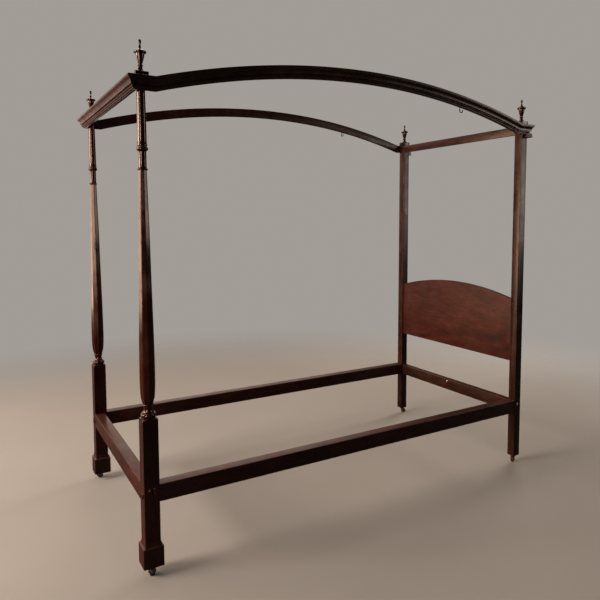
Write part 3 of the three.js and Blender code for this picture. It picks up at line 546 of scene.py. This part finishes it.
def foot_block(side, material):
    low, high = limits(f"foot_block_{side}")
    centre = (low + high) / 2
    outer, inner = (high[0] - low[0]) / 2, FOOT_SQUARE + JOINT_GAP
    profile = [(outer - 1.0, low[2]), (outer, low[2] + 1.0), (outer, low[2] + 77)]
    profile += soften(hollow((outer - 1.2, low[2] + 78), (inner + 0.9, high[2] - 0.2)), 0.3)
    rings = [polar(centre, square_reach(half, 2.2), z) for half, z in profile]
    hole = [polar(centre, square_reach(inner, 1.2), z) for z in (high[2], low[2])]
    bm = bmesh.new()
    add_rings(bm, rings + hole + rings[:1], closed_ends=False)
    bmesh.ops.remove_doubles(bm, verts=bm.verts, dist=1e-6)
    return make(f"foot_block_wood_{side}", bm, material, "frame",
                [f"foot_block_{side}"])


# ---- head posts, rails and headboard ------------------------------------------------------------
# A small hole in the front of the right head post: in from its outer face, and its height.
POST_HOLE_IN, POST_HOLE_Z = 27.0, 357.0


def head_post(side, sx, material):
    low, high = limits(f"head_post_{side}")
    centre = (low + high) / 2
    bm, holes = bmesh.new(), bmesh.new()
    add_beam(bm, low, high, 1.6, 4)
    bolt_bores(holes, HEAD_BORE, centre, high[1], 1, high[0] if sx > 0 else low[0], sx)
    stem_bore(holes, centre, low[2])
    if side == "right":
        add_turned(holes, [(4.5, -24), (4.5, -0.5), (5.1, 0.6)], 32,
                   along("y", -1, (high[0] - POST_HOLE_IN, low[1], POST_HOLE_Z)))
    return make(f"head_post_wood_{side}", bm, material, "frame",
                [f"head_post_{side}"], holes)


POCKET = 8.3               # half the square pocket that a nut is let into, from below


def rail(name, low, high, material, nuts):
    bm, holes = bmesh.new(), bmesh.new()
    add_beam(bm, low, high, 1.8, 4)
    for x, y, z in nuts:
        add_beam(holes, (x - POCKET, y - POCKET, low[2] - 5), (x + POCKET, y + POCKET, z + POCKET),
                 0.3, 1)
    return make(f"{name}_wood", bm, material, "frame", [name], holes)


def side_rail(side, material):
    low, high = limits(f"side_rail_{side}")
    low.y = limits(f"foot_post_{side}")[1][1] + JOINT_GAP
    high.y = limits(f"head_post_{side}")[0][1] - JOINT_GAP
    nuts = [middle(f"side_nut_{end}_{side}") for end in ("foot", "head")]
    return rail(f"side_rail_{side}", low, high, material, nuts)


def cross_rail(end, material):
    low, high = limits(f"{end}_rail")
    reach = limits(f"{end}_post_right")[0][0]
    low.x, high.x = -reach + JOINT_GAP, reach - JOINT_GAP
    nuts = [middle(f"end_nut_{end}_{side}") for side, _ in SIDES]
    return rail(f"{end}_rail", low, high, material, nuts)


HEADBOARD_SHOULDER = 905.0             # where its arch springs from the posts
GROOVE_DEPTH, TONGUE = 8.0, 7.0        # the post's groove and the headboard's tongue in it


def headboard(material):
    low, high = limits("headboard")
    inner = high[0] - GROOVE_DEPTH
    half = inner + TONGUE
    rise = high[2] - HEADBOARD_SHOULDER
    radius = (inner ** 2 + rise ** 2) / (2 * rise)
    centre_z = HEADBOARD_SHOULDER + rise - radius
    widest, steps = math.asin(half / radius), 72
    angles = [widest - 2 * widest * i / steps for i in range(steps + 1)]
    outline = [(-half, low[2]), (half, low[2])]
    outline += [(radius * math.sin(a), centre_z + radius * math.cos(a)) for a in angles]
    bm = bmesh.new()
    start = bm.faces.new([bm.verts.new(Vector((x, low[1], z)) * MM) for x, z in outline])
    for g in bmesh.ops.extrude_face_region(bm, geom=[start])["geom"]:
        if isinstance(g, bmesh.types.BMVert):
            g.co.y = high[1] * MM
    bm.normal_update()
    sharp = [e for e in bm.edges if e.calc_face_angle() > SHARP]
    bmesh.ops.bevel(bm, geom=sharp, offset=2.2 * MM, segments=4, profile=0.5, affect="EDGES")
    return make("headboard_wood", bm, material, "frame", ["headboard"])


# ---- tester and cornice -------------------------------------------------------------------------
TESTER_BOTTOM, TESTER_HEIGHT = 1795.0, 46.0
HALF_SPAN, RISE = 948.0, 137.0
BOW_RADIUS = (HALF_SPAN ** 2 + RISE ** 2) / (2 * RISE)
BOW_Z = TESTER_BOTTOM + RISE - BOW_RADIUS
BOW_STEPS = 96


def bow_angle(height):
    """Half the bow's sweep at a height above its underside, so that its ends meet the level."""
    return math.asin(math.sqrt(HALF_SPAN ** 2 + 2 * height * RISE) / (BOW_RADIUS + height))


def bow_points(height):
    """Points over the bow from foot to head, at a height above its underside."""
    widest, radius = bow_angle(height), BOW_RADIUS + height
    angles = [widest * (2 * i / BOW_STEPS - 1) for i in range(BOW_STEPS + 1)]
    return [(radius * math.sin(a), BOW_Z + radius * math.cos(a)) for a in angles]


def tester_arch(side, material):
    low, high = limits(f"tester_arch_{side}")
    end = limits(f"head_post_{side}")[0][1] - JOINT_GAP
    top = TESTER_BOTTOM + TESTER_HEIGHT
    outline = [(low[1], TESTER_BOTTOM)] + bow_points(0) + [(end, TESTER_BOTTOM), (end, top)]
    outline += list(reversed(bow_points(TESTER_HEIGHT))) + [(low[1], top)]
    bm = bmesh.new()
    add_extruded(bm, outline, low[0], high[0], 0.9, 3)
    return make(f"tester_arch_wood_{side}", bm, material, "frame",
                [f"tester_arch_{side}"])


BOARD_THICKNESS = 10.0
CORNER_BLOCK, CORNER_BLOCK_BOTTOM = 45.7, 1812.0


def tester_foot_rail(material):
    """The end board with the block in each corner that sits on the foot post."""
    low, high = limits("tester_foot_rail")
    inner = limits("tester_arch_right")[0][0] - JOINT_GAP
    back = low[1] + BOARD_THICKNESS
    bm = bmesh.new()
    add_beam(bm, (-inner, low[1], low[2]), (inner, back, high[2]), 0.9)
    for _, sx in SIDES:
        x = sorted((sx * inner, sx * (inner - CORNER_BLOCK)))
        add_beam(bm, (x[0], back + 0.05, CORNER_BLOCK_BOTTOM), (x[1], high[1], high[2]), 1.0)
    return make("tester_foot_rail_wood", bm, material, "frame",
                ["tester_foot_rail"])


def tester_head_rail(material):
    low, high = limits("tester_head_rail")
    reach = limits("head_post_right")[0][0] - JOINT_GAP
    bm = bmesh.new()
    add_beam(bm, (-reach, low[1], low[2]), (reach, high[1], high[2]), 0.9)
    return make("tester_head_rail_wood", bm, material, "frame",
                ["tester_head_rail"])


def curve_to(start, control, end, steps=10):
    """A curve bent toward a control point, without its start."""
    return [tuple((1 - t) ** 2 * a + 2 * t * (1 - t) * b + t * t * c
                  for a, b, c in zip(start, control, end))
            for t in (i / steps for i in range(1, steps + 1))]


def cornice_section():
    """The moulding's section: out from the tester's face, and up from its underside."""
    points = [(0, 3), (5.5, 3), (5.5, 5.5), (7, 6.5)] + curve_to((7, 6.5), (14, 10), (8.5, 13.5))
    points += [(8.5, 16), (15.5, 16.5), (15.5, 18)] + curve_to((15.5, 18), (16, 29), (22, 35))
    points += [(24.5, 36.5), (24.5, 38), (27.5, 38.5), (27.5, 47), (26.5, 48), (0, 48)]
    return soften(points, 0.45)


CORNICE_FACE_X, CORNICE_FACE_Y = 512.3, 1025.3


def side_cornice(side, sx, material):
    """Mitred at the foot, level to the bow, over it, and level to the mitre behind the post."""
    section = cornice_section()

    def level(sign):
        return [(sx * (CORNICE_FACE_X + u), sign * (CORNICE_FACE_Y + u), TESTER_BOTTOM + v)
                for u, v in section]

    def on_bow(share):
        return [(sx * (CORNICE_FACE_X + u), (BOW_RADIUS + v) * math.sin(bow_angle(v) * share),
                 BOW_Z + (BOW_RADIUS + v) * math.cos(bow_angle(v) * share)) for u, v in section]

    bow = [on_bow(2 * i / BOW_STEPS - 1) for i in range(BOW_STEPS + 1)]
    bm = bmesh.new()
    add_rings(bm, [level(-1)] + bow + [level(1)])
    return make(f"cornice_wood_{side}", bm, material, "frame",
                [f"cornice_{side}"], None, 24)


def foot_cornice(material):
    rings = [[(sign * (CORNICE_FACE_X + u - JOINT_GAP), -(CORNICE_FACE_Y + u), TESTER_BOTTOM + v)
              for u, v in cornice_section()] for sign in (1, -1)]
    bm = bmesh.new()
    add_rings(bm, rings)
    return make("cornice_wood_foot", bm, material, "frame",
                ["cornice_foot"], None, 24)


def cornice_return(side, material):
    """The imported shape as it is, with its flat faces made whole."""
    bm = bmesh.new()
    bm.from_mesh(nodes[f"cornice_return_{side}"].data)
    bmesh.ops.remove_doubles(bm, verts=bm.verts, dist=2e-5)
    bmesh.ops.dissolve_limit(bm, angle_limit=math.radians(1.0), verts=bm.verts, edges=bm.edges)
    return make(f"cornice_return_wood_{side}", bm, material, "frame",
                [f"cornice_return_{side}"], None, 24)


# ---- finials ------------------------------------------------------------------------------------
# Above the square plinth: a stem, the urn's cup, its rim, its lid, and a spire with a knob.
URN = ([(17, 1864)] + catmull([(15.5, 1865), (10.5, 1871), (7.2, 1879)], 18)
       + bead(8.6, 1.2, 1883, 1888, 10)
       + catmull([(7.3, 1890), (11.8, 1906), (15, 1919), (16, 1927)], 18)
       + bead(21, 1.5, 1929, 1936, 10)
       + catmull([(17.5, 1938.5), (9.5, 1942.5), (5.2, 1947.5), (3.7, 1955)], 22)
       + catmull([(3.8, 1962), (5.8, 1969), (4.4, 1975), (1.6, 1978), (0.02, 1979)], 14))
PLINTH_TOP, PLINTH_STEP, PLINTH_INSET = 21.7, 2.7, 2.5     # heights, and its foot's inset


def finial(place, side, material):
    node = f"finial_{place}_{side}"
    centre = middle(node)
    low, high = limits(node)
    top, step = low[2] + PLINTH_TOP, low[2] + PLINTH_STEP
    bm = bmesh.new()
    add_beam(bm, (low[0], low[1], step), (high[0], high[1], top), 1.0)
    add_beam(bm, (low[0] + PLINTH_INSET, low[1] + PLINTH_INSET, low[2]),
             (high[0] - PLINTH_INSET, high[1] - PLINTH_INSET, step + 2), 0.4)
    add_turned(bm, soften([(17, top - 1)] + URN, 0.3), 72,
               Matrix.Translation((centre[0], centre[1], 0)))
    return make(f"finial_wood_{place}_{side}", bm, material, "frame", [node])


# ---- metal parts --------------------------------------------------------------------------------
COVER_PIVOT = 12.5         # height of its screw above the bolt


def bolt_cover(kind, side, axis, sign, face, material):
    """A domed disc over a bolt, with the rivet that it swings on."""
    disc = [(0.02, 0.3), (15.2, 0.3), (15.5, 0.6), (15.5, 1.1), (15.2, 1.5), (14.5, 2.0),
            (12.6, 2.2)]
    disc += catmull([(12.5, 2.25), (12.0, 3.0), (11.4, 3.25), (10.8, 3.0), (10.2, 2.6)], 12)
    disc += catmull([(9.8, 2.62), (7.6, 3.3), (5, 3.95), (2.4, 4.3), (0.02, 4.4)], 14)
    bm = bmesh.new()
    add_turned(bm, disc, 72, along(axis, sign, face))
    pivot = Vector(face) + Vector((0, 0, COVER_PIVOT))
    rivet = [(1.2, -8), (1.2, 0.4), (2.0, 1.0), (2.0, 3.1)]
    rivet += catmull([(1.9, 3.3), (1.5, 3.7), (0.8, 3.95), (0.02, 4.0)], 8)
    add_turned(bm, rivet, 32, along(axis, sign, pivot))
    name = f"{kind}_bolt_cover_{side}"
    return make(f"{name}_metal", bm, material, name, [name])


# Each caster's wheel radius and width, its trail, the height of the leg's end, and the angle it
# is turned to.
CASTERS = {"foot": (14.5, 19.0, 15.0, 37.0), "head": (14.0, 14.0, 10.0, 36.0)}
CASTER_TURN = {"foot_right": -100, "foot_left": 115, "head_right": -155, "head_left": -50}
CHEEK_GAP, CHEEK_THICKNESS = 1.0, 2.5


def caster_cheek(trail, radius, top):
    """Outline of a cheek in Y and Z: it narrows from the plate to a round end about the axle."""
    turns = [math.pi + math.pi * i / 16 for i in range(17)]
    round_end = [(trail + 5.5 * math.cos(a), radius + 5.5 * math.sin(a)) for a in turns]
    left = catmull([(-9, top), (-7.5, top - 5), (trail - 9, radius + 7), (trail - 5.5, radius)], 14)
    right = catmull([(trail + 5.5, radius), (trail + 5.0, radius + 6), (12, top - 5), (11, top)],
                    14)
    return left[:-1] + round_end + right[1:]


def add_cheek(bm, outline, low, high, stand):
    """Extrudes a cheek on its own, so that only its edges are rounded, and stands it in place."""
    cheek = bmesh.new()
    add_extruded(cheek, outline, low, high, 0.5, 2)
    cheek.transform(Matrix.Scale(1 / MM, 4))
    for v in cheek.verts:
        v.co = (stand @ v.co) * MM
    joined = bpy.data.meshes.new("cheek")
    cheek.to_mesh(joined)
    cheek.free()
    bm.from_mesh(joined)
    bpy.data.meshes.remove(joined)


def tyre_section(radius, half):
    """The wheel's section, (radius, place along its axle): a hub, a sunk web and a round tread."""
    face = [(2.9, 0), (radius * 0.42, 0), (radius * 0.46, 0.5), (radius * 0.5, 1.8),
            (radius * 0.74, 1.8), (radius * 0.78, 0.6), (radius * 0.82, 0), (radius - 1.5, 0),
            (radius - 0.5, 0.4), (radius, 2)]
    section = [(r, z - half) for r, z in face] + [(r, half - z) for r, z in reversed(face)]
    return section[:1] + soften(section, 0.3)[1:]


def caster(place, side, material, tread):
    """The horn with its plate, cheeks and axle, and the wheel that turns in it."""
    horn, wheel = f"{place}_caster_horn_{side}", f"{place}_caster_wheel_{side}"
    radius, width, trail, base = CASTERS[place]
    post = middle(f"finial_foot_{side}" if place == "foot" else f"head_post_{side}")
    stand = (Matrix.Translation((post[0], post[1], 0))
             @ Matrix.Rotation(math.radians(CASTER_TURN[f"{place}_{side}"]), 4, "Z"))
    plate = base - JOINT_GAP
    top = plate - 2.0
    bm = bmesh.new()
    stem = soften([(0.02, plate - 3), (15, plate - 3), (15, plate - 0.8), (14, plate),
                   (4.5, plate), (4.5, base + 39.5), (4, base + 40), (0.02, base + 40)], 0.3)
    add_turned(bm, stem, 48, stand)
    inner = width / 2 + CHEEK_GAP
    outer = inner + CHEEK_THICKNESS
    outline = caster_cheek(trail, radius, top)
    cap = [(3.6, 0)] + catmull([(3.6, 0.4), (3.2, 1.2), (1.8, 1.7), (0.02, 1.8)], 8)
    for s in (1, -1):
        add_cheek(bm, outline, *sorted((s * inner, s * outer)), stand)
        add_turned(bm, cap, 32, stand @ along("x", s, (s * outer, trail, radius)))
    add_beam(bm, (-outer, -9, 2 * radius + 2), (outer, 11, top), 0.8, 3, stand)
    axle = stand @ along("x", 1, (0, trail, radius))
    add_turned(bm, [(2.5, -outer - 0.5), (2.5, outer + 0.5)], 24, axle)
    make(f"{horn}_metal", bm, material, f"{place}_caster_{side}", [horn])

    section = tyre_section(radius, width / 2)
    bm = bmesh.new()
    add_rings(bm, [circle(r, z, 64, axle) for r, z in section + section[:1]], closed_ends=False)
    bmesh.ops.remove_doubles(bm, verts=bm.verts, dist=1e-7)
    make(f"{wheel}_metal", bm, tread, f"{place}_wheel_{side}", [wheel])


def swept(bm, path, radius, segments=16):
    """A round wire through points, its tip rounded over."""
    points = [Vector(p) for p in path]
    normal = None
    rings = []
    for i, p in enumerate(points):
        tangent = points[min(i + 1, len(points) - 1)] - points[max(i - 1, 0)]
        tangent.normalize()
        if normal is None:
            normal = tangent.orthogonal().normalized()
        normal = (normal - tangent * normal.dot(tangent)).normalized()
        rings.append((p, normal, tangent.cross(normal), radius))
    for step in range(1, 6):
        a = math.pi / 2 * step / 5.2
        rings.append((p + tangent * radius * math.sin(a), *rings[-1][1:3], radius * math.cos(a)))
    turns = [2 * math.pi * k / segments for k in range(segments)]
    add_rings(bm, [[p + (n * math.cos(a) + s * math.sin(a)) * r for a in turns]
                   for p, n, s, r in rings])


WIRE, HOOK_RADIUS = 2.3, 10.0


def canopy_hook(side, material):
    """A wire shank that bends through a half circle, opening the way that its box is longer."""
    node = f"canopy_hook_{side}"
    low, high = limits(node)
    inward = (high[0] - low[0]) > (high[1] - low[1])
    direction = Vector((1, 0, 0)) if inward else Vector((0, 1, 0))
    shank = Vector((low[0] + WIRE, low[1] + WIRE, 0))
    bend, top = low[2] + WIRE + HOOK_RADIUS, high[2]
    path = [shank + Vector((0, 0, z)) for z in (top, top - 8, top - 16, bend + 6)]
    for a in (math.pi * i / 24 for i in range(25)):
        path.append(shank + direction * (HOOK_RADIUS - HOOK_RADIUS * math.cos(a))
                    + Vector((0, 0, bend - HOOK_RADIUS * math.sin(a))))
    path.append(shank + direction * (2 * HOOK_RADIUS) + Vector((0, 0, bend + 2)))
    bm = bmesh.new()
    swept(bm, path, WIRE)
    return make(f"{node}_metal", bm, material, "frame", [node])


PEG_PROUD = 4.0            # how far its head stands off the head rail


def head_rail_peg(material):
    low, high = limits("head_rail_peg")
    centre = (low + high) / 2
    head = [(0.02, -14.0), (3, -14.0), (3, 0.3), (5.9, 0.35), (6, 0.7), (5.9, 1.3)]
    head += catmull([(5.7, 1.7), (4.8, 3.1), (2.8, 3.9), (0.02, 4.0)], 12)
    bm = bmesh.new()
    add_turned(bm, head, 48, along("y", -1, (centre[0], low[1] + PEG_PROUD, centre[2])))
    return make("head_rail_peg_metal", bm, material, "frame", ["head_rail_peg"])


# ---- building it --------------------------------------------------------------------------------
bronze = metal("bronze", (0.42, 0.235, 0.16), (0.034, 0.015, 0.009), (0.010, 0.005, 0.003),
               rough=0.34, grain=90.0, cover=0.85)
brass = metal("brass", (0.95, 0.72, 0.50), (0.62, 0.43, 0.27), (0.12, 0.075, 0.045),
              rough=0.50, grain=90.0, cover=0.20)
steel = metal("steel", (0.78, 0.78, 0.75), (0.40, 0.37, 0.34), (0.080, 0.048, 0.032),
              rough=0.42, grain=110.0, cover=0.35)
iron = metal("iron", (0.16, 0.145, 0.135), (0.045, 0.036, 0.031), (0.020, 0.012, 0.008),
             rough=0.50, grain=60.0, cover=0.60, bump=0.5)
iron_wheel = metal("iron_wheel", (0.20, 0.18, 0.165), (0.050, 0.040, 0.034),
                   (0.022, 0.014, 0.009), rough=0.46, grain=80.0, cover=0.55, bump=0.4)
copper = metal("copper", (0.27, 0.125, 0.065), (0.085, 0.036, 0.020), (0.022, 0.011, 0.007),
               rough=0.42, grain=75.0, cover=0.60, bump=0.4)

for side, sx in SIDES:
    foot_post(side, sx, wood(f"foot_post_{side}", "z", POST_WOOD, rough=0.17, coat=0.20, wear=0.30,
                             figure=0.30, dust=0.08, relief=0.22))
    foot_block(side, wood(f"foot_block_{side}", "z", DARK_WOOD, rough=0.32, coat=0.16, wear=0.9,
                          figure=0.4, dust=0.3))
    head_post(side, sx, wood(f"head_post_{side}", "z", BROWN_WOOD, rough=0.30, coat=0.15, wear=0.55,
                             figure=0.6, dust=0.2))
    side_rail(side, wood(f"side_rail_{side}", "y", RED_WOOD, rough=0.31, coat=0.16, wear=0.55,
                         figure=0.45, dust=0.25))
    tester_arch(side, wood(f"tester_arch_{side}", "y", RED_WOOD, rough=0.33, coat=0.16, wear=0.4,
                           figure=0.4, dust=0.2))
    side_cornice(side, sx, wood(f"cornice_{side}", "y", DARK_WOOD, rough=0.30, coat=0.20, wear=0.5,
                                figure=0.35, dust=0.25))
    cornice_return(side, wood(f"cornice_return_{side}", "x", DARK_WOOD, rough=0.34, coat=0.30,
                              wear=0.5, figure=0.35, dust=0.3))
    for place in ("foot", "head"):
        finial(place, side, wood(f"finial_{place}_{side}", "z", POST_WOOD, rough=0.14, coat=0.30,
                                 wear=0.0, figure=0.2, dust=0.05, relief=0.03))
    caster("foot", side, iron, iron_wheel)
    caster("head", side, copper, copper)
    canopy_hook(side, bronze)
    low, high = limits(f"foot_post_{side}")
    centre = middle(f"finial_foot_{side}")
    outer_face = high[0] if sx > 0 else low[0]
    bolt_cover("side", side, "y", -1, (centre[0], low[1], LOWER_BOLT_Z), bronze)
    bolt_cover("end", side, "x", sx, (outer_face, centre[1], UPPER_BOLT_Z), bronze)

cross_rail("foot", wood("foot_rail", "x", RED_WOOD, rough=0.32, coat=0.16, wear=0.6, figure=0.45,
                        dust=0.3))
cross_rail("head", wood("head_rail", "x", BROWN_WOOD, rough=0.36, coat=0.06, wear=0.5, figure=0.5,
                        dust=0.05, shine=0.35))
head_rail_peg(brass)
headboard(wood("headboard", "x", BOARD_WOOD, rough=0.44, coat=0.03, wear=0.5, figure=0.60,
               dust=0.15, relief=0.8, scuffs=0.75))
tester_foot_rail(wood("tester_foot_rail", "x", RED_WOOD, rough=0.33, coat=0.30, wear=0.4,
                      figure=0.4, dust=0.3))
tester_head_rail(wood("tester_head_rail", "x", BROWN_WOOD, rough=0.34, coat=0.12, wear=0.4,
                      figure=0.4, dust=0.1))
foot_cornice(wood("cornice_foot", "x", RED_WOOD, rough=0.27, coat=0.0, wear=0.55, figure=0.35,
                  dust=0.05, relief=0.4, shine=0.20))

# Bolts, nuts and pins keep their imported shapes, in steel.
for name, node in nodes.items():
    if "_bolt_" in name and "cover" not in name or "_nut_" in name or "tester_pin" in name:
        node.data.materials.clear()
        node.data.materials.append(steel)

# ---- stage, light and camera --------------------------------------------------------------------
FLOOR_SEEN = ((0.47, 0.43, 0.385), (0.56, 0.515, 0.47))   # the two tones that the camera sees
FLOOR_UNSEEN = (0.09, 0.08, 0.07)       # what other rays see, so that little light comes up
FADE_START, FADE_END = 1.9, 4.4         # where the floor thins out into the background


def floor_material():
    g = Graph("floor")
    coords = g.node("ShaderNodeTexCoord").outputs["Object"]
    cloud = g.noise(coords, 1.3, 5.0, 0.6)
    path = g.node("ShaderNodeLightPath")
    g.feed(g.shader.inputs["Base Color"],
           g.mix(path.outputs["Is Camera Ray"], FLOOR_UNSEEN, g.mix(cloud, *FLOOR_SEEN)))
    g.feed(g.shader.inputs["Roughness"], g.span(cloud, 0.3, 0.7, 0.84, 0.94))
    g.shader.inputs["Specular IOR Level"].default_value = 0.12
    away = g.vector("LENGTH", g.scaled(coords, (1.0, 1.0, 0.0)), (0, 0, 0))
    fade = g.node("ShaderNodeMixShader")
    g.feed(fade.inputs[0], g.span(away, FADE_START, FADE_END))
    g.feed(fade.inputs[1], g.shader.outputs[0])
    g.feed(fade.inputs[2], g.node("ShaderNodeBsdfTransparent").outputs[0])
    g.feed(g.output.inputs[0], fade.outputs[0])
    return g.material


def studio_floor():
    bm = bmesh.new()
    bmesh.ops.create_grid(bm, x_segments=8, y_segments=8, size=30.0)
    mesh = bpy.data.meshes.new("floor")
    bm.to_mesh(mesh)
    bm.free()
    floor = bpy.data.objects.new("floor", mesh)
    floor.data.materials.append(floor_material())
    bpy.context.scene.collection.objects.link(floor)


def softbox(name, location, target, size, power, colour, diffuse=True, glossy=True):
    data = bpy.data.lights.new(name, "AREA")
    data.shape, data.size, data.size_y = "RECTANGLE", size[0], size[1]
    data.energy, data.color = power, colour
    lamp = bpy.data.objects.new(name, data)
    lamp.location = location
    lamp.visible_diffuse, lamp.visible_glossy = diffuse, glossy
    toward = Vector(target) - Vector(location)
    lamp.rotation_euler = toward.to_track_quat("-Z", "Y").to_euler()
    bpy.context.scene.collection.objects.link(lamp)


SKY_SEEN = (0.36, 0.335, 0.31, 1.0)     # the background that the camera sees
SKY_LIGHT = (1.0, 0.84, 0.72, 1.0)      # one soft bright patch in a dim room, for all other rays
SKY_PATCH = Vector((-0.90, -0.02, 0.43)).normalized()
SKY_EDGE, SKY_DIM, SKY_BRIGHT = (0.71, 0.93), 0.026, 0.85


def studio_sky():
    world = bpy.data.worlds.new("studio")
    bpy.context.scene.world = world
    world.use_nodes = True
    world.node_tree.nodes.clear()
    add, link = world.node_tree.nodes.new, world.node_tree.links.new
    output, mix, path, seen, light, coords, dot, patch = (
        add(f"ShaderNode{kind}") for kind in (
            "OutputWorld", "MixShader", "LightPath", "Background", "Background", "TexCoord",
            "VectorMath", "MapRange"))
    dot.operation = "DOT_PRODUCT"
    dot.inputs[1].default_value = SKY_PATCH
    patch.interpolation_type = "SMOOTHSTEP"
    for socket, value in zip(patch.inputs[1:5], (*SKY_EDGE, SKY_DIM, SKY_BRIGHT)):
        socket.default_value = value
    seen.inputs[0].default_value = SKY_SEEN
    light.inputs[0].default_value = SKY_LIGHT
    link(coords.outputs["Generated"], dot.inputs[0])
    link(dot.outputs["Value"], patch.inputs["Value"])
    link(patch.outputs[0], light.inputs[1])
    link(path.outputs["Is Camera Ray"], mix.inputs[0])
    link(light.outputs[0], mix.inputs[1])
    link(seen.outputs[0], mix.inputs[2])
    link(mix.outputs[0], output.inputs[0])


# The photograph's camera, as fitted to the bed's straight edges.
CAMERA_PLACE = (2.6409, -1.5451, 1.3325)
CAMERA_YAW, CAMERA_PITCH = 2.5901, -0.0751
CAMERA_LENS, SENSOR_WIDTH = 34.99, 36.0
CAMERA_SHIFT = (-0.04365, -0.05812)


def studio_camera():
    data = bpy.data.cameras.new("camera")
    data.lens, data.sensor_width = CAMERA_LENS, SENSOR_WIDTH
    data.shift_x, data.shift_y = CAMERA_SHIFT
    data.clip_start, data.clip_end = 0.05, 100.0
    camera = bpy.data.objects.new("camera", data)
    camera.location = CAMERA_PLACE
    view = Vector((math.cos(CAMERA_PITCH) * math.cos(CAMERA_YAW),
                   math.cos(CAMERA_PITCH) * math.sin(CAMERA_YAW), math.sin(CAMERA_PITCH)))
    camera.rotation_euler = view.to_track_quat("-Z", "Y").to_euler()
    bpy.context.scene.collection.objects.link(camera)
    bpy.context.scene.camera = camera


studio_floor()
softbox("key", (-0.4, -5.0, 2.6), (0.0, -0.8, 0.9), (2.0, 1.6), 180.0, (1.0, 0.87, 0.76))
softbox("window", (-2.2, -4.4, 1.4), (0.2, -0.9, 1.2), (1.6, 2.0), 75.0, (1.0, 0.71, 0.54))
softbox("strip", (3.3, -4.2, 1.6), (-0.4, -1.0, 1.2), (0.6, 1.8), 95.0, (1.0, 0.80, 0.68),
        diffuse=False)
softbox("glow", (3.1, 4.1, 2.2), (0.3, 0.9, 1.0), (1.5, 2.0), 30.0, (1.0, 0.90, 0.84),
        diffuse=False)
softbox("behind", (-2.2, 5.2, 2.4), (0.0, 1.0, 1.0), (2.5, 2.2), 130.0, (1.0, 0.90, 0.82),
        glossy=False)
softbox("overhead", (-1.2, -0.6, 4.4), (0.0, 0.0, 0.6), (2.6, 3.0), 28.0, (1.0, 0.94, 0.88))
studio_sky()
studio_camera()
bpy.context.scene.view_settings.view_transform = "Standard"
